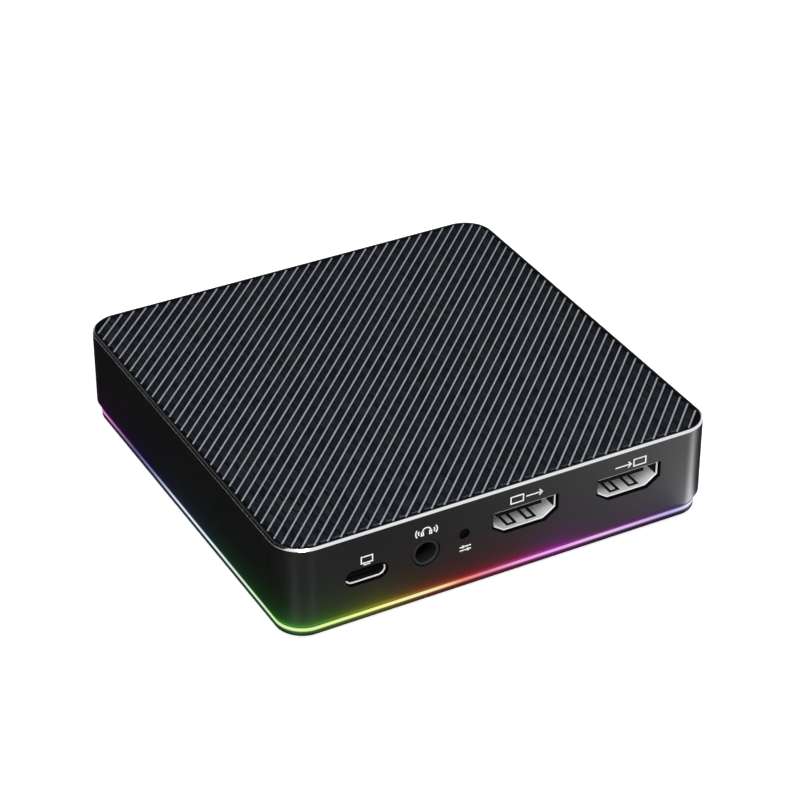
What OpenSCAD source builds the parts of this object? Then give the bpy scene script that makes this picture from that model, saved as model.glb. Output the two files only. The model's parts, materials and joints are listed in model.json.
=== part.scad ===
// Video capture box: a flat square case with a ribbed top panel, a glowing ring above its base
// and a row of ports along its front face. Millimetres. +Z is up, the front face looks along -Y,
// and the origin is at the centre of the surface that the feet stand on.

/* [Case] */
// Width of the case, left to right
body_w = 100; // [96:1:120]
// Depth of the case, front to back
body_d = 100; // [96:1:120]
// Height from the soles of the feet to the rim
body_h = 23; // [22.5:0.5:28]
// Radius of the upright corners
corner_r = 7; // [6:0.5:10]
// Thickness of the side walls
wall = 2; // [1.6:0.1:2.4]
// Thickness of the roof under the top panel
roof_t = 1.5; // [1:0.1:2]
// Bright bevel round the rim
rim_bevel = 0.5; // [0.3:0.05:0.8]
// Width of the rim, from the outer face to the panel's pocket
rim_w = 0.9; // [0.85:0.05:1.9]
// Bevel on the shell's lower edge
lip_bevel = 0.25; // [0.1:0.05:0.5]

/* [Top panel] */
// Thickness of the panel without its ribs
panel_t = 1; // [0.8:0.1:1.4]
// Depth of the panel's ground below the rim
panel_sunk = 0.2; // [0.1:0.05:0.4]
// Gap between the panel and the rim
panel_gap = 0.1; // [0.05:0.05:0.3]
// Bevel on the panel's upper edge
panel_bevel = 0.1; // [0.05:0.05:0.4]
// Thickness of the adhesive sheet under the panel
glue_t = 0.15; // [0.1:0.05:0.3]
// Margin of the adhesive sheet inside the panel's edge
glue_margin = 1.5; // [0.5:0.5:4]
// Distance between neighbouring ribs, across them
rib_pitch = 2.05; // [1.6:0.05:3]
// Width of a rib at the panel's ground
rib_foot_w = 0.45; // [0.4:0.05:1]
// Width of a rib at its crown
rib_crown_w = 0.25; // [0.15:0.05:0.4]
// Height of a rib above the panel's ground
rib_h = 0.15; // [0.1:0.05:0.3]
// Bare margin between the ribs' ends and the panel's edge
rib_margin = 0.15; // [0.1:0.05:2]

/* [Light ring] */
// Height of the ring's glowing band
ring_h = 1.4; // [1.2:0.1:3]
// Depth of the band behind the case's outer face
ring_inset = 0.9; // [0.6:0.1:1.2]
// Thickness of the ring from its outer face inwards
ring_t = 2.5; // [2.2:0.1:3]
// Height of the lip that stands inside the shell's wall
ring_lip_h = 1.4; // [0.8:0.1:2]
// Clearance of the ring to the wall and to the base's step
ring_gap = 0.1; // [0.05:0.05:0.2]
// Gap between the ring and the light board
light_gap = 0.6; // [0.4:0.1:1]
// Width of the frame-shaped light board
light_board_w = 5; // [4:0.5:6]
// Thickness of the light board
light_board_t = 0.8; // [0.6:0.1:1.2]
// Number of lamps along each side
led_count = 6; // [4:1:9]
// Length of a lamp
led_l = 3; // [2:0.5:4]
// Depth of a lamp
led_d = 1.2; // [0.8:0.1:1.6]
// Height of a lamp
led_h = 1; // [0.6:0.1:1.2]
// Distance of the outer lamps from the light board's corners
led_end = 9; // [8:1:16]

/* [Base] */
// Height of the base's visible edge
base_edge_h = 1.2; // [1.1:0.1:2]
// Taper of the base's edge, inwards to its underside
base_taper = 0.45; // [0.3:0.05:1.2]
// Height of the plateau that stands inside the ring
base_step = 0.8; // [0.6:0.1:1.2]
// Radius of a foot
foot_r = 5; // [4:0.5:6]
// Height that a foot stands below the base
foot_drop = 1; // [0.5:0.1:1.5]
// Depth of the pocket that a foot sits in
foot_seat = 0.6; // [0.4:0.1:0.8]
// Clearance round a foot in its pocket
foot_gap = 0.1; // [0.05:0.05:0.2]
// Bevel on a foot's sole
foot_bevel = 0.3; // [0.1:0.1:0.4]

/* [Fasteners] */
// Radius of a screw's shank
screw_r = 1; // [0.8:0.05:1.2]
// Clearance of a shank in its hole
screw_gap = 0.06; // [0.04:0.01:0.15]
// Radius of a screw's head
head_r = 1.9; // [1.7:0.1:2.2]
// Height of a screw's head
head_h = 0.8; // [0.6:0.1:1]
// Clearance round a screw's head in its counterbore
head_gap = 0.2; // [0.1:0.05:0.4]
// Radius across the corners of a head's hexagon socket
hex_r = 0.8; // [0.6:0.05:1]
// Depth of a head's hexagon socket
hex_depth = 0.45; // [0.3:0.05:0.5]
// Length of a base screw's shank
base_screw_l = 9; // [7:0.5:12]
// Radius of the bosses that take the base screws
boss_r = 3; // [2.4:0.1:3.5]
// Gap between a base boss and the light board
boss_gap = 0.5; // [0.3:0.1:1]
// Gap between the video ports' tails and the base bosses
boss_clear = 0.6; // [0.5:0.1:3]
// Length of a board screw's shank
board_screw_l = 6; // [4:0.5:8]
// Radius of the bosses that carry the main board
board_boss_r = 2.4; // [2:0.1:3]
// Distance of the board bosses from the case's sides
board_boss_in = 8; // [7:0.5:10]
// Distance of the board bosses from the case's front and back
board_boss_row = 26; // [24:1:32]

/* [Main board] */
// Height of the main board's upper face
board_z = 11; // [10.5:0.1:11.5]
// Thickness of the main board
board_t = 1.6; // [1.2:0.1:2]
// Gap between the main board and the walls
board_gap = 1.5; // [1:0.1:2]
// Clearance of the main board round what passes through it
board_hole_gap = 0.4; // [0.2:0.1:0.6]
// Pitch of the link's pins
link_pitch = 2.54; // [2:0.01:2.54]
// Number of pins in the link
link_count = 4; // [3:1:6]
// Width of a link pin
link_pin_w = 0.64; // [0.5:0.02:0.7]
// Width of the link's block
link_block_w = 2.5; // [2:0.1:3]
// Height of the link's pins above the main board
link_stub = 1.2; // [0.8:0.1:2]

/* [Video ports] */
// Place of the video output, left to right
video_out_x = 4.25; // [4:0.05:6]
// Place of the video input, left to right
video_in_x = 28.9; // [28:0.1:31]
// Height of a video port's middle above the main board
video_rise = 3.7; // [3.4:0.1:4]
// Width of a video port's mouth
video_w = 14.3; // [13.5:0.1:14.5]
// Height of a video port's mouth
video_h = 4.5; // [4.4:0.05:4.8]
// Width of the mouth along its lower edge
video_low_w = 9.1; // [9:0.1:11]
// Height of the mouth's upright sides
video_side_h = 2.7; // [2:0.05:3]
// Length of a video port's metal shell
video_l = 11.4; // [10:0.1:12.5]
// Thickness of the ports' sheet metal
metal_t = 0.35; // [0.25:0.05:0.4]
// Depth of the metal shells' mouths behind the front face
port_set = 0.7; // [0.3:0.1:1]
// Clearance between a port's shell and its cut-out
port_gap = 0.3; // [0.15:0.05:0.4]
// Width of a port's tongue
tongue_w = 10.6; // [10.2:0.1:11]
// Thickness of a port's tongue
tongue_t = 1.3; // [1:0.1:1.5]
// Height of the tongue's middle above the mouth's middle
tongue_lift = 0.45; // [0.2:0.05:0.6]
// Depth of the tongue's tip behind the shell's mouth
tongue_set = 1.9; // [1:0.1:2.5]
// Length of the insulator's block inside the shell
block_l = 3.2; // [2:0.1:4]
// Length of the insulator's tail behind the shell
tail_l = 1.3; // [1:0.1:2]
// Distance of the spring fingers from the port's middle
finger_x = 2.3; // [2:0.1:2.8]
// Width of a spring finger
finger_w = 1.15; // [1:0.05:1.8]
// Length of a spring finger
finger_l = 3.6; // [2.5:0.1:4.5]
// Width of the slot round a spring finger
finger_slot = 0.7; // [0.3:0.05:0.8]
// Distance of a finger's slot from the shell's mouth
finger_set = 0.8; // [0.6:0.05:1.5]

/* [Host port] */
// Place of the host port, left to right
host_x = -32.1; // [-34:0.1:-30]
// Width of the host port's mouth
host_w = 8.4; // [8:0.1:9]
// Height of the host port's mouth
host_h = 2.6; // [2.5:0.05:2.8]
// Length of the host port's metal shell
host_l = 7.4; // [6.5:0.1:8.5]
// Width of the host port's tongue
host_tongue_w = 6.7; // [6.4:0.1:7]
// Thickness of the host port's tongue
host_tongue_t = 0.7; // [0.6:0.05:0.8]
// Depth of the tongue's tip behind the mouth
host_tongue_set = 0.7; // [0.4:0.1:1.5]
// Length of the block that carries the tongue
host_block_l = 1.8; // [1.2:0.1:2.5]

/* [Contacts] */
// Thickness of the ports' contacts
contact_t = 0.12; // [0.08:0.01:0.15]
// Width of a video contact
video_contact_w = 0.3; // [0.24:0.02:0.36]
// Pitch of the video contacts along one row
video_contact_pitch = 1; // [0.9:0.05:1]
// Width of a host contact
host_contact_w = 0.25; // [0.2:0.01:0.3]
// Pitch of the host contacts
host_contact_pitch = 0.5; // [0.48:0.01:0.52]
// Depth of the contacts' tips behind the tongue's tip
contact_set = 0.6; // [0.4:0.1:1]
// Length of a contact's foot on the board
contact_foot = 0.5; // [0.3:0.05:0.7]
// Clearance of a contact in the insulator
contact_gap = 0.02; // [0.01:0.01:0.04]

/* [Audio jack] */
// Place of the audio jack, left to right
jack_x = -18.7; // [-19.5:0.1:-18]
// Height of the jack's body
jack_h = 4.6; // [4.5:0.1:5.2]
// Width of the jack's body
jack_w = 6.4; // [6:0.1:7]
// Length of the jack's body
jack_l = 12; // [11:0.5:14]
// Radius of the jack's bore
jack_bore_r = 1.8; // [1.76:0.01:1.85]
// Thickness of the wall behind the bore
jack_end_t = 1; // [0.8:0.1:2]
// Outer radius of the ferrule
ferrule_r = 3; // [2.8:0.1:3.2]
// Bore radius of the ferrule
ferrule_bore_r = 2.25; // [2:0.05:2.4]
// Bevel in the ferrule's mouth
ferrule_bevel = 0.25; // [0.1:0.05:0.4]
// Radius of the flange that the ferrule is trapped by
ferrule_flange_r = 3.7; // [3.5:0.1:3.9]
// Thickness of the ferrule's flange
ferrule_flange_t = 0.5; // [0.4:0.1:0.8]
// Depth of the ferrule's mouth behind the front face
ferrule_set = 0.15; // [0.1:0.05:0.4]
// Clearance of the ferrule in the wall and between wall and jack
ferrule_gap = 0.15; // [0.1:0.05:0.25]
// Width of a jack contact
strip_w = 1.5; // [1:0.1:1.8]
// Thickness of a jack or switch contact
strip_t = 0.25; // [0.2:0.05:0.3]
// Length of a strip's foot on the board
strip_foot = 0.9; // [0.6:0.1:1.2]
// Clearance of a jack contact's tip to the bore
tip_gap = 0.08; // [0.04:0.02:0.15]

/* [Mix button] */
// Place of the mix button, left to right
mix_x = -10; // [-10.5:0.1:-9]
// Height of the button's middle above the main board
mix_rise = 4; // [3.8:0.05:4.5]
// Radius of the button's hole in the wall
mix_hole_r = 1.2; // [1.1:0.05:1.4]
// Running clearance of the button and of the plunger
mix_gap = 0.08; // [0.05:0.01:0.1]
// Depth of the button's face behind the front face
mix_set = 0.6; // [0.4:0.1:1]
// Radius of the button's flange
mix_flange_r = 2; // [1.8:0.1:2.2]
// Thickness of the button's flange
mix_flange_t = 0.6; // [0.4:0.1:0.8]
// Length of the button's stem behind its flange
mix_stem_l = 1.3; // [1:0.1:1.6]
// Travel of the button
mix_travel = 0.3; // [0.2:0.05:0.4]
// Gap between the sprung pieces and their stops at rest
stop_gap = 0.06; // [0.04:0.01:0.1]
// Radius of the plunger's shaft
plunger_r = 1.3; // [1.2:0.05:1.5]
// Length of the plunger's shaft in front of the switch
plunger_l = 1.2; // [1:0.1:1.5]
// Radius of the plunger's flange
plunger_flange_r = 2; // [1.8:0.05:2.1]
// Thickness of the plunger's flange
plunger_flange_t = 0.5; // [0.4:0.1:0.7]
// Width of the switch
switch_w = 6; // [5.5:0.1:6.5]
// Depth of the switch
switch_d = 3.6; // [3:0.1:4.5]
// Height of the switch above its plunger
switch_over = 2.5; // [2.4:0.1:3]
// Radius of the chamber for plunger and dome
chamber_r = 2.2; // [2.15:0.05:2.35]
// Height that the snap dome keeps when it is pressed
dome_flat_h = 0.4; // [0.2:0.05:0.6]
// Radius of the dome's flat crown
dome_crown_r = 0.7; // [0.5:0.05:1.2]
// Thickness of the snap dome
dome_t = 0.12; // [0.08:0.01:0.2]

/* [Electronics] */
// Width of the capture chip
chip_w = 19; // [15:1:22]
// Height of the capture chip
chip_h = 1.2; // [0.9:0.1:1.6]
// Thickness of the thermal pad
pad_t = 0.5; // [0.3:0.1:1]
// Width of the heat sink
sink_w = 30; // [24:1:34]
// Thickness of the heat sink's base
sink_base_t = 1.5; // [1:0.1:2]
// Thickness of a heat sink fin
fin_t = 1; // [0.8:0.1:1.4]
// Number of heat sink fins
fin_count = 9; // [6:1:12]
// Gap between the fins and the roof
sink_gap = 0.3; // [0.2:0.1:0.5]
// Width of the video receiver and the video driver
video_chip_w = 10; // [8:1:12]
// Height of the flat chips
flat_chip_h = 0.9; // [0.7:0.1:1.2]
// Width of a memory chip
memory_w = 8; // [7:0.5:9]
// Length of a memory chip
memory_l = 12; // [10:0.5:13]
// Width of the host controller
bridge_w = 9; // [7:0.5:10]
// Width of the audio converter
audio_chip_w = 5; // [4:0.5:6]
// Width of the program memory
flash_w = 5; // [4:0.5:6]
// Height of the program memory
flash_h = 1.7; // [1:0.1:2]
// Width of a power coil
coil_w = 4; // [3:0.5:5]
// Height of a power coil
coil_h = 2; // [1.5:0.1:3]
// Radius of a power capacitor's can
can_r = 2.5; // [2:0.1:3]
// Height of a power capacitor
can_h = 5.4; // [4:0.1:6.5]
// Width of the square foot under a can
can_foot_w = 5.3; // [5:0.1:6.2]
// Height of the square foot under a can
can_foot_h = 0.8; // [0.5:0.1:1.2]
// Length of a small capacitor
cap_l = 1.6; // [1:0.1:2]
// Width of a small capacitor
cap_w = 0.8; // [0.5:0.1:1]

/* [Hidden] */
$fn = 64;

// Overshoot of a cut past the face that it opens
cut = 1;
// Depth that a standing feature is rooted in what carries it
root = 0.4;

// Heights, from the soles upwards
ledge_z = foot_drop + base_edge_h;
plateau_z = ledge_z + base_step;
shell_z = ledge_z + ring_h;
ground_z = body_h - panel_sunk;
panel_z = ground_z - panel_t;
pocket_z = panel_z - glue_t;
roof_z = pocket_z - roof_t;
board_low_z = board_z - board_t;
light_z = plateau_z + light_board_t;

// Depths, from the front face backwards
front_y = -body_d / 2;
inner_y = front_y + wall;
mouth_y = front_y + port_set;

// Outlines, as distances inside the case's outer face
ring_in = ring_inset + ring_t;
plateau_in = ring_in + ring_gap;
light_in = ring_in + light_gap;
panel_in = rim_w + panel_gap;
board_in = wall + board_gap;
boss_in = light_in + light_board_w + boss_gap + boss_r;
boss_x = body_w / 2 - boss_in;
// The base bosses stand behind the video ports, and in the same way at the back
boss_row = port_set + video_l + tail_l + boss_clear + boss_r;
boss_y = body_d / 2 - boss_row;
board_boss_x = body_w / 2 - board_boss_in;
board_boss_y = body_d / 2 - board_boss_row;
hole_r = screw_r + screw_gap;
head_seat_z = foot_drop + foot_seat + head_h;

// The link and the lamp driver stand on the inner edge of the light board's rear side
light_edge_y = body_d / 2 - light_in - light_board_w;
link_y = light_edge_y + link_block_w / 2;
link_half = (link_count - 1) * link_pitch / 2;
link_hole_w = link_pin_w + 2 * contact_gap;

// Port levels and depths
video_z = board_z + video_rise;
video_rear_y = mouth_y + video_l;
video_tail_y = video_rear_y + tail_l;
tongue_z = video_z + tongue_lift;
// Heights of the contacts on the tongue's upper and lower face
top_row_z = tongue_z + tongue_t / 2 - contact_t;
low_row_z = tongue_z - tongue_t / 2;
top_row_count = 10;
low_row_count = 9;
host_z = board_z + metal_t + host_h / 2;
host_rear_y = mouth_y + host_l;
leg_w = 1.6;
leg_slot_w = 2 * board_hole_gap;
host_leg_w = 1;
// Places of the legs along a shell, from its mouth
video_legs = [5.2, 10.2];
host_legs = [4, 6.6];

// Audio jack
jack_z = board_z + jack_h / 2;
jack_y = inner_y + ferrule_gap + ferrule_flange_t;
ferrule_hole_r = ferrule_r + ferrule_gap;
tip_half_h = 0.6;
// Places of the jack's contacts along its body
jack_strips = [[-1, 3], [-1, 7.5], [1, 1.8], [1, 9.5]];

// Mix button and its switch
mix_z = board_z + mix_rise;
mix_r = mix_hole_r - mix_gap;
mix_flange_y = inner_y + stop_gap;
plunger_y = mix_flange_y + mix_flange_t + mix_stem_l;
cover_y = plunger_y + plunger_l;
switch_y = cover_y + strip_t;
plunger_flange_y = switch_y + stop_gap;
dome_y = plunger_flange_y + plunger_flange_t + stop_gap;
dome_h = dome_flat_h + mix_travel;
chamber_y = dome_y + dome_h;
switch_h = mix_rise + switch_over;
// Places of the terminals, as shares of the switch's depth
terminal_rows = [0.25, 0.75];

// Electronics: distances of the rows behind the front face
video_chip_row = 26;
bridge_row = 27;
audio_row = 23;
video_chip_y = front_y + video_chip_row;
bridge_y = front_y + bridge_row;
audio_y = front_y + audio_row;
// Step of the host controller to the right of its port
bridge_step = 3;
bridge_x = host_x + bridge_step;
// Steps of the crystals behind the chips that they serve
video_crystal_step = 6;
host_crystal_step = 9;
crystal_places = [[(video_out_x + video_in_x) / 2, video_chip_y + video_crystal_step],
    [bridge_x, bridge_y + host_crystal_step]];
crystal_size = [3.2, 2.5, 0.8];
// Distance of the power capacitors from the back face
can_row = 14;
can_y = body_d / 2 - can_row;
can_columns = [-14, -6, 12];
// Places on the main board, from its middle
chip_place = [5, 8];
memory_places = [[-19, 3], [-19, 17]];
flash_place = [30, 20];
coil_places = [[-36, 4], [-36, 10.5], [-36, 17]];
// Rows of small capacitors beside the heat sink
cap_gap = 1.5;
cap_step = sink_w / 2 + cap_gap;
cap_count = 8;
cap_pitch = 3.4;
driver_size = [4, 2.5, 0.9];
// Distance of the lamp driver from the link's last pin
driver_step = 7;

// Repeated shapes

// Sweeps an outline round a rounded rectangle: x runs outwards from the corners' centres
module swept_edge(w, d, r) {
    for (turn = [0 : 3]) {
        across = turn % 2 == 0 ? w : d;
        along = turn % 2 == 0 ? d : w;
        rotate(90 * turn) {
            translate([across / 2 - r, 0, 0])
                rotate([90, 0, 0])
                    linear_extrude(along - 2 * r, center = true)
                        children();
            translate([across / 2 - r, along / 2 - r, 0])
                rotate_extrude(angle = 90)
                    children();
        }
    }
}

// A block with round upright corners, and bevels on its upper and lower edges
module rounded_block(w, d, r, h, top_bevel = 0, low_bevel = 0) {
    low = low_bevel > 0 ? [[r - low_bevel, 0], [r, low_bevel]] : [[r, 0]];
    top = top_bevel > 0 ? [[r, h - top_bevel], [r - top_bevel, h]] : [[r, h]];
    swept_edge(w, d, r)
        polygon(concat([[0, 0]], low, top, [[0, h]]));
    translate([r - w / 2, r - d / 2, 0])
        cube([w - 2 * r, d - 2 * r, h]);
}

// A rounded block that follows the case's outline at a distance inside it
module inset_block(inset, z, h, top_bevel = 0, low_bevel = 0) {
    translate([0, 0, z])
        rounded_block(body_w - 2 * inset, body_d - 2 * inset, corner_r - inset, h, top_bevel, low_bevel);
}

// Extrudes an outline in X and Z from y backwards
module along_y(y, l) {
    translate([0, y + l, 0])
        rotate([90, 0, 0])
            linear_extrude(l)
                children();
}

// A cylinder, or a cone, from y backwards
module rod_y(r, y, l, end_r = -1) {
    translate([0, y, 0])
        rotate([-90, 0, 0])
            cylinder(r1 = r, r2 = end_r < 0 ? r : end_r, h = l);
}

// A bar with round sides from y backwards
module slot_bar(w, h, y, l) {
    straight = w - h;
    translate([-straight / 2, y, -h / 2])
        cube([straight, l, h]);
    for (side = [0, 1])
        mirror([side, 0, 0])
            translate([straight / 2, y + l, 0])
                rotate([90, 0, 0])
                    rotate(-90)
                        rotate_extrude(angle = 180)
                            square([h / 2, l]);
}

// A box centred on x and y, standing on z
module standing_box(size) {
    translate([-size[0] / 2, -size[1] / 2, 0])
        cube(size);
}

module at_base_screws() {
    for (sx = [-1, 1], sy = [-1, 1])
        translate([sx * boss_x, sy * boss_y, 0])
            children();
}

module at_board_screws() {
    for (sx = [-1, 1], sy = [-1, 1])
        translate([sx * board_boss_x, sy * board_boss_y, 0])
            children();
}

// Places its children at the link's pins
module at_link_pins() {
    for (k = [0 : link_count - 1])
        translate([k * link_pitch - link_half, link_y, 0])
            children();
}

// A screw whose head seats at z = 0 and whose shank points up
module screw(l) {
    difference() {
        translate([0, 0, -head_h])
            cylinder(r = head_r, h = head_h);
        translate([0, 0, -head_h - cut])
            cylinder(r = hex_r, h = hex_depth + cut, $fn = 6);
    }
    translate([0, 0, -head_h + hex_depth])
        cylinder(r = screw_r, h = l + head_h - hex_depth);
}

// Case

module body_shell() {
    color("#1d1d20")
        difference() {
            union() {
                difference() {
                    inset_block(0, shell_z, body_h - shell_z, rim_bevel, lip_bevel);
                    inset_block(wall, shell_z - cut, roof_z - shell_z + cut);
                    inset_block(rim_w, pocket_z, body_h - pocket_z + cut);
                }
                at_base_screws()
                    translate([0, 0, plateau_z])
                        cylinder(r = boss_r, h = roof_z + root - plateau_z);
                at_board_screws()
                    translate([0, 0, board_z])
                        cylinder(r = board_boss_r, h = roof_z + root - board_z);
            }
            at_base_screws()
                translate([0, 0, plateau_z - cut])
                    cylinder(r = hole_r, h = base_screw_l + cut);
            at_board_screws()
                translate([0, 0, board_z - cut])
                    cylinder(r = hole_r, h = board_screw_l + cut);
            for (x = [video_out_x, video_in_x])
                translate([x, 0, video_z])
                    along_y(front_y - cut, wall + 2 * cut)
                        polygon(video_outline(metal_t + port_gap));
            translate([host_x, 0, host_z])
                slot_bar(host_w + 2 * (metal_t + port_gap), host_h + 2 * (metal_t + port_gap),
                    front_y - cut, wall + 2 * cut);
            translate([jack_x, 0, jack_z])
                rod_y(ferrule_hole_r, front_y - cut, wall + 2 * cut);
            translate([mix_x, 0, mix_z])
                rod_y(mix_hole_r, front_y - cut, wall + 2 * cut);
        }
}

module top_panel() {
    field_in = panel_in + rib_margin;
    reach = body_w + body_d;
    field_half = (body_w + body_d - 4 * corner_r) / 2 / sqrt(2) + corner_r - field_in;
    last_rib = floor((field_half - rib_foot_w) / rib_pitch);
    flare = (rib_foot_w - rib_crown_w) / 2 / rib_h * root;
    color("#20242d") {
        inset_block(panel_in, panel_z, panel_t, panel_bevel);
        intersection() {
            inset_block(field_in, panel_z, panel_t + 2 * rib_h);
            for (k = [-last_rib : last_rib])
                rotate(45)
                    translate([-reach / 2, k * rib_pitch, ground_z])
                        rotate([90, 0, 90])
                            linear_extrude(reach)
                                polygon([[-rib_foot_w / 2 - flare, -root],
                                    [rib_foot_w / 2 + flare, -root],
                                    [rib_crown_w / 2, rib_h], [-rib_crown_w / 2, rib_h]]);
        }
    }
}

module panel_glue() {
    color("#d8d6cf")
        inset_block(panel_in + glue_margin, pocket_z, glue_t);
}

module light_ring() {
    outer_r = corner_r - ring_inset;
    inner_r = corner_r - ring_in;
    lip_r = corner_r - wall - ring_gap;
    color("#dfe9ff")
        swept_edge(body_w - 2 * ring_inset, body_d - 2 * ring_inset, outer_r)
            polygon([[inner_r, ledge_z], [outer_r, ledge_z], [outer_r, shell_z], [lip_r, shell_z],
                [lip_r, shell_z + ring_lip_h], [inner_r, shell_z + ring_lip_h]]);
}

module base_plate() {
    edge_r = corner_r - ring_inset;
    core = [body_w - 2 * corner_r, body_d - 2 * corner_r];
    color("#141416")
        difference() {
            union() {
                swept_edge(body_w - 2 * ring_inset, body_d - 2 * ring_inset, edge_r)
                    polygon([[0, foot_drop], [edge_r - base_taper, foot_drop], [edge_r, ledge_z],
                        [0, ledge_z]]);
                translate([0, 0, foot_drop])
                    standing_box([core[0], core[1], base_edge_h]);
                inset_block(plateau_in, foot_drop, plateau_z - foot_drop);
            }
            at_base_screws() {
                translate([0, 0, foot_drop - cut])
                    cylinder(r = foot_r + foot_gap, h = foot_seat + cut);
                translate([0, 0, foot_drop])
                    cylinder(r = head_r + head_gap, h = head_seat_z - foot_drop);
                translate([0, 0, foot_drop])
                    cylinder(r = hole_r, h = plateau_z - foot_drop + cut);
            }
        }
}

// A rubber foot at the corner that sx and sy point to
module foot(sx, sy) {
    h = foot_drop + foot_seat;
    color("#26262a")
        translate([sx * boss_x, sy * boss_y, 0])
            rotate_extrude()
                polygon([[0, 0], [foot_r - foot_bevel, 0], [foot_r, foot_bevel], [foot_r, h], [0, h]]);
}

module foot_front_left() { foot(-1, -1); }

module foot_front_right() { foot(1, -1); }

module foot_rear_left() { foot(-1, 1); }

module foot_rear_right() { foot(1, 1); }

module base_screws() {
    color("#8d9096")
        at_base_screws()
            translate([0, 0, head_seat_z])
                screw(base_screw_l);
}

// Lighting

module light_board() {
    color("#f0f0ea")
        difference() {
            inset_block(light_in, plateau_z, light_board_t);
            translate([0, 0, plateau_z - cut])
                standing_box([body_w - 2 * (light_in + light_board_w),
                    body_d - 2 * (light_in + light_board_w), light_board_t + 2 * cut]);
            at_link_pins()
                translate([0, 0, plateau_z - cut])
                    standing_box([link_hole_w, link_hole_w, light_board_t + 2 * cut]);
        }
}

module light_leds() {
    color("#fff8e8")
        for (turn = [0 : 3], k = [0 : led_count - 1]) {
            half = (turn % 2 == 0 ? body_w : body_d) / 2 - light_in;
            span = 2 * ((turn % 2 == 0 ? body_d : body_w) / 2 - light_in - led_end);
            rotate(90 * turn)
                translate([half - led_d / 2, span * (k / (led_count - 1) - 0.5), light_z])
                    standing_box([led_d, led_l, led_h]);
        }
}

module light_driver() {
    color("#1a1a1c")
        translate([link_half + driver_step, light_edge_y + driver_size[1] / 2, light_z])
            standing_box(driver_size);
}

module link_block() {
    color("#1a1a1c")
        difference() {
            translate([0, link_y, light_z])
                standing_box([2 * link_half + link_pitch, link_block_w, board_low_z - light_z]);
            at_link_pins()
                translate([0, 0, light_z - cut])
                    standing_box([link_hole_w, link_hole_w, board_low_z - light_z + 2 * cut]);
        }
}

module link_pins() {
    color("#d9b45a")
        at_link_pins()
            translate([0, 0, plateau_z])
                standing_box([link_pin_w, link_pin_w, board_z + link_stub - plateau_z]);
}

// Main board

module main_board() {
    color("#0f4a36")
        difference() {
            inset_block(board_in, board_low_z, board_t);
            at_base_screws()
                translate([0, 0, board_low_z - cut])
                    cylinder(r = boss_r + board_hole_gap, h = board_t + 2 * cut);
            at_board_screws()
                translate([0, 0, board_low_z - cut])
                    cylinder(r = hole_r, h = board_t + 2 * cut);
            at_link_pins()
                translate([0, 0, board_low_z - cut])
                    standing_box([link_hole_w, link_hole_w, board_t + 2 * cut]);
            for (x = [video_out_x, video_in_x])
                translate([x, 0, board_low_z - cut])
                    at_video_legs()
                        standing_box([metal_t + leg_slot_w, leg_w + leg_slot_w, board_t + 2 * cut]);
            translate([host_x, 0, board_low_z - cut])
                at_host_legs()
                    standing_box([metal_t + leg_slot_w, host_leg_w + leg_slot_w, board_t + 2 * cut]);
        }
}

module board_screws() {
    color("#8d9096")
        at_board_screws()
            translate([0, 0, board_low_z])
                screw(board_screw_l);
}

// Video ports

// The mouth's outline, grown outwards by g: wide above, with slanted lower corners
function video_outline(g) = let (
    half = video_w / 2,
    low = video_low_w / 2,
    top = video_h / 2,
    knee = top - video_side_h,
    slant = atan2(half - low, knee + top),
    knee_z = knee - g * tan(slant / 2),
    low_x = low + g * tan(45 - slant / 2)
) [[-half - g, top + g], [-half - g, knee_z], [-low_x, -top - g],
    [low_x, -top - g], [half + g, knee_z], [half + g, top + g]];

module at_video_legs() {
    for (side = [-1, 1], leg = video_legs)
        translate([side * (video_w + metal_t) / 2, mouth_y + leg, 0])
            children();
}

// The slot that frees a spring finger in a sheet whose middle is at z
module finger_slot_cut(x, z) {
    outer_w = finger_w + 2 * finger_slot;
    translate([x, mouth_y + finger_set, z - metal_t])
        difference() {
            translate([-outer_w / 2, 0, 0])
                cube([outer_w, finger_l + finger_slot, 2 * metal_t]);
            translate([-finger_w / 2, finger_slot, -cut])
                cube([finger_w, finger_l + cut, 2 * metal_t + 2 * cut]);
        }
}

module video_shell(x) {
    color("#b9bcc2")
        translate([x, 0, 0]) {
            difference() {
                translate([0, 0, video_z])
                    along_y(mouth_y, video_l)
                        polygon(video_outline(metal_t));
                translate([0, 0, video_z])
                    along_y(mouth_y - cut, video_l + 2 * cut)
                        polygon(video_outline(0));
                for (side = [-1, 1], level = [-1, 1])
                    finger_slot_cut(side * finger_x, video_z + level * (video_h + metal_t) / 2);
            }
            at_video_legs()
                translate([0, 0, board_low_z])
                    standing_box([metal_t, leg_w, video_z + video_h / 2 - video_side_h / 2 - board_low_z]);
        }
}

module video_insulator(x) {
    block_y = video_rear_y - block_l;
    color("#17171a")
        translate([x, 0, 0])
            difference() {
                union() {
                    translate([0, 0, video_z])
                        along_y(block_y, block_l)
                            polygon(video_outline(-contact_gap));
                    translate([-tongue_w / 2, mouth_y + tongue_set, tongue_z - tongue_t / 2])
                        cube([tongue_w, video_l - tongue_set - block_l + root, tongue_t]);
                    translate([0, video_rear_y + tail_l / 2, board_z])
                        standing_box([video_w, tail_l, video_z + video_h / 2 - board_z]);
                }
                for (cx = video_contact_row(top_row_count))
                    contact_channel(cx, top_row_z, video_contact_w);
                for (cx = video_contact_row(low_row_count))
                    contact_channel(cx, low_row_z, video_contact_w);
            }
}

// Places of n contacts along a row, from its middle
function video_contact_row(n) = [for (k = [0 : n - 1]) (k - (n - 1) / 2) * video_contact_pitch];

// The channel in a video insulator that a contact lies in
module contact_channel(x, z, w) {
    tip_y = mouth_y + tongue_set + contact_set - contact_gap;
    translate([x - w / 2 - contact_gap, tip_y, z - contact_gap])
        cube([w + 2 * contact_gap, video_tail_y + cut - tip_y, contact_t + 2 * contact_gap]);
}

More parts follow.
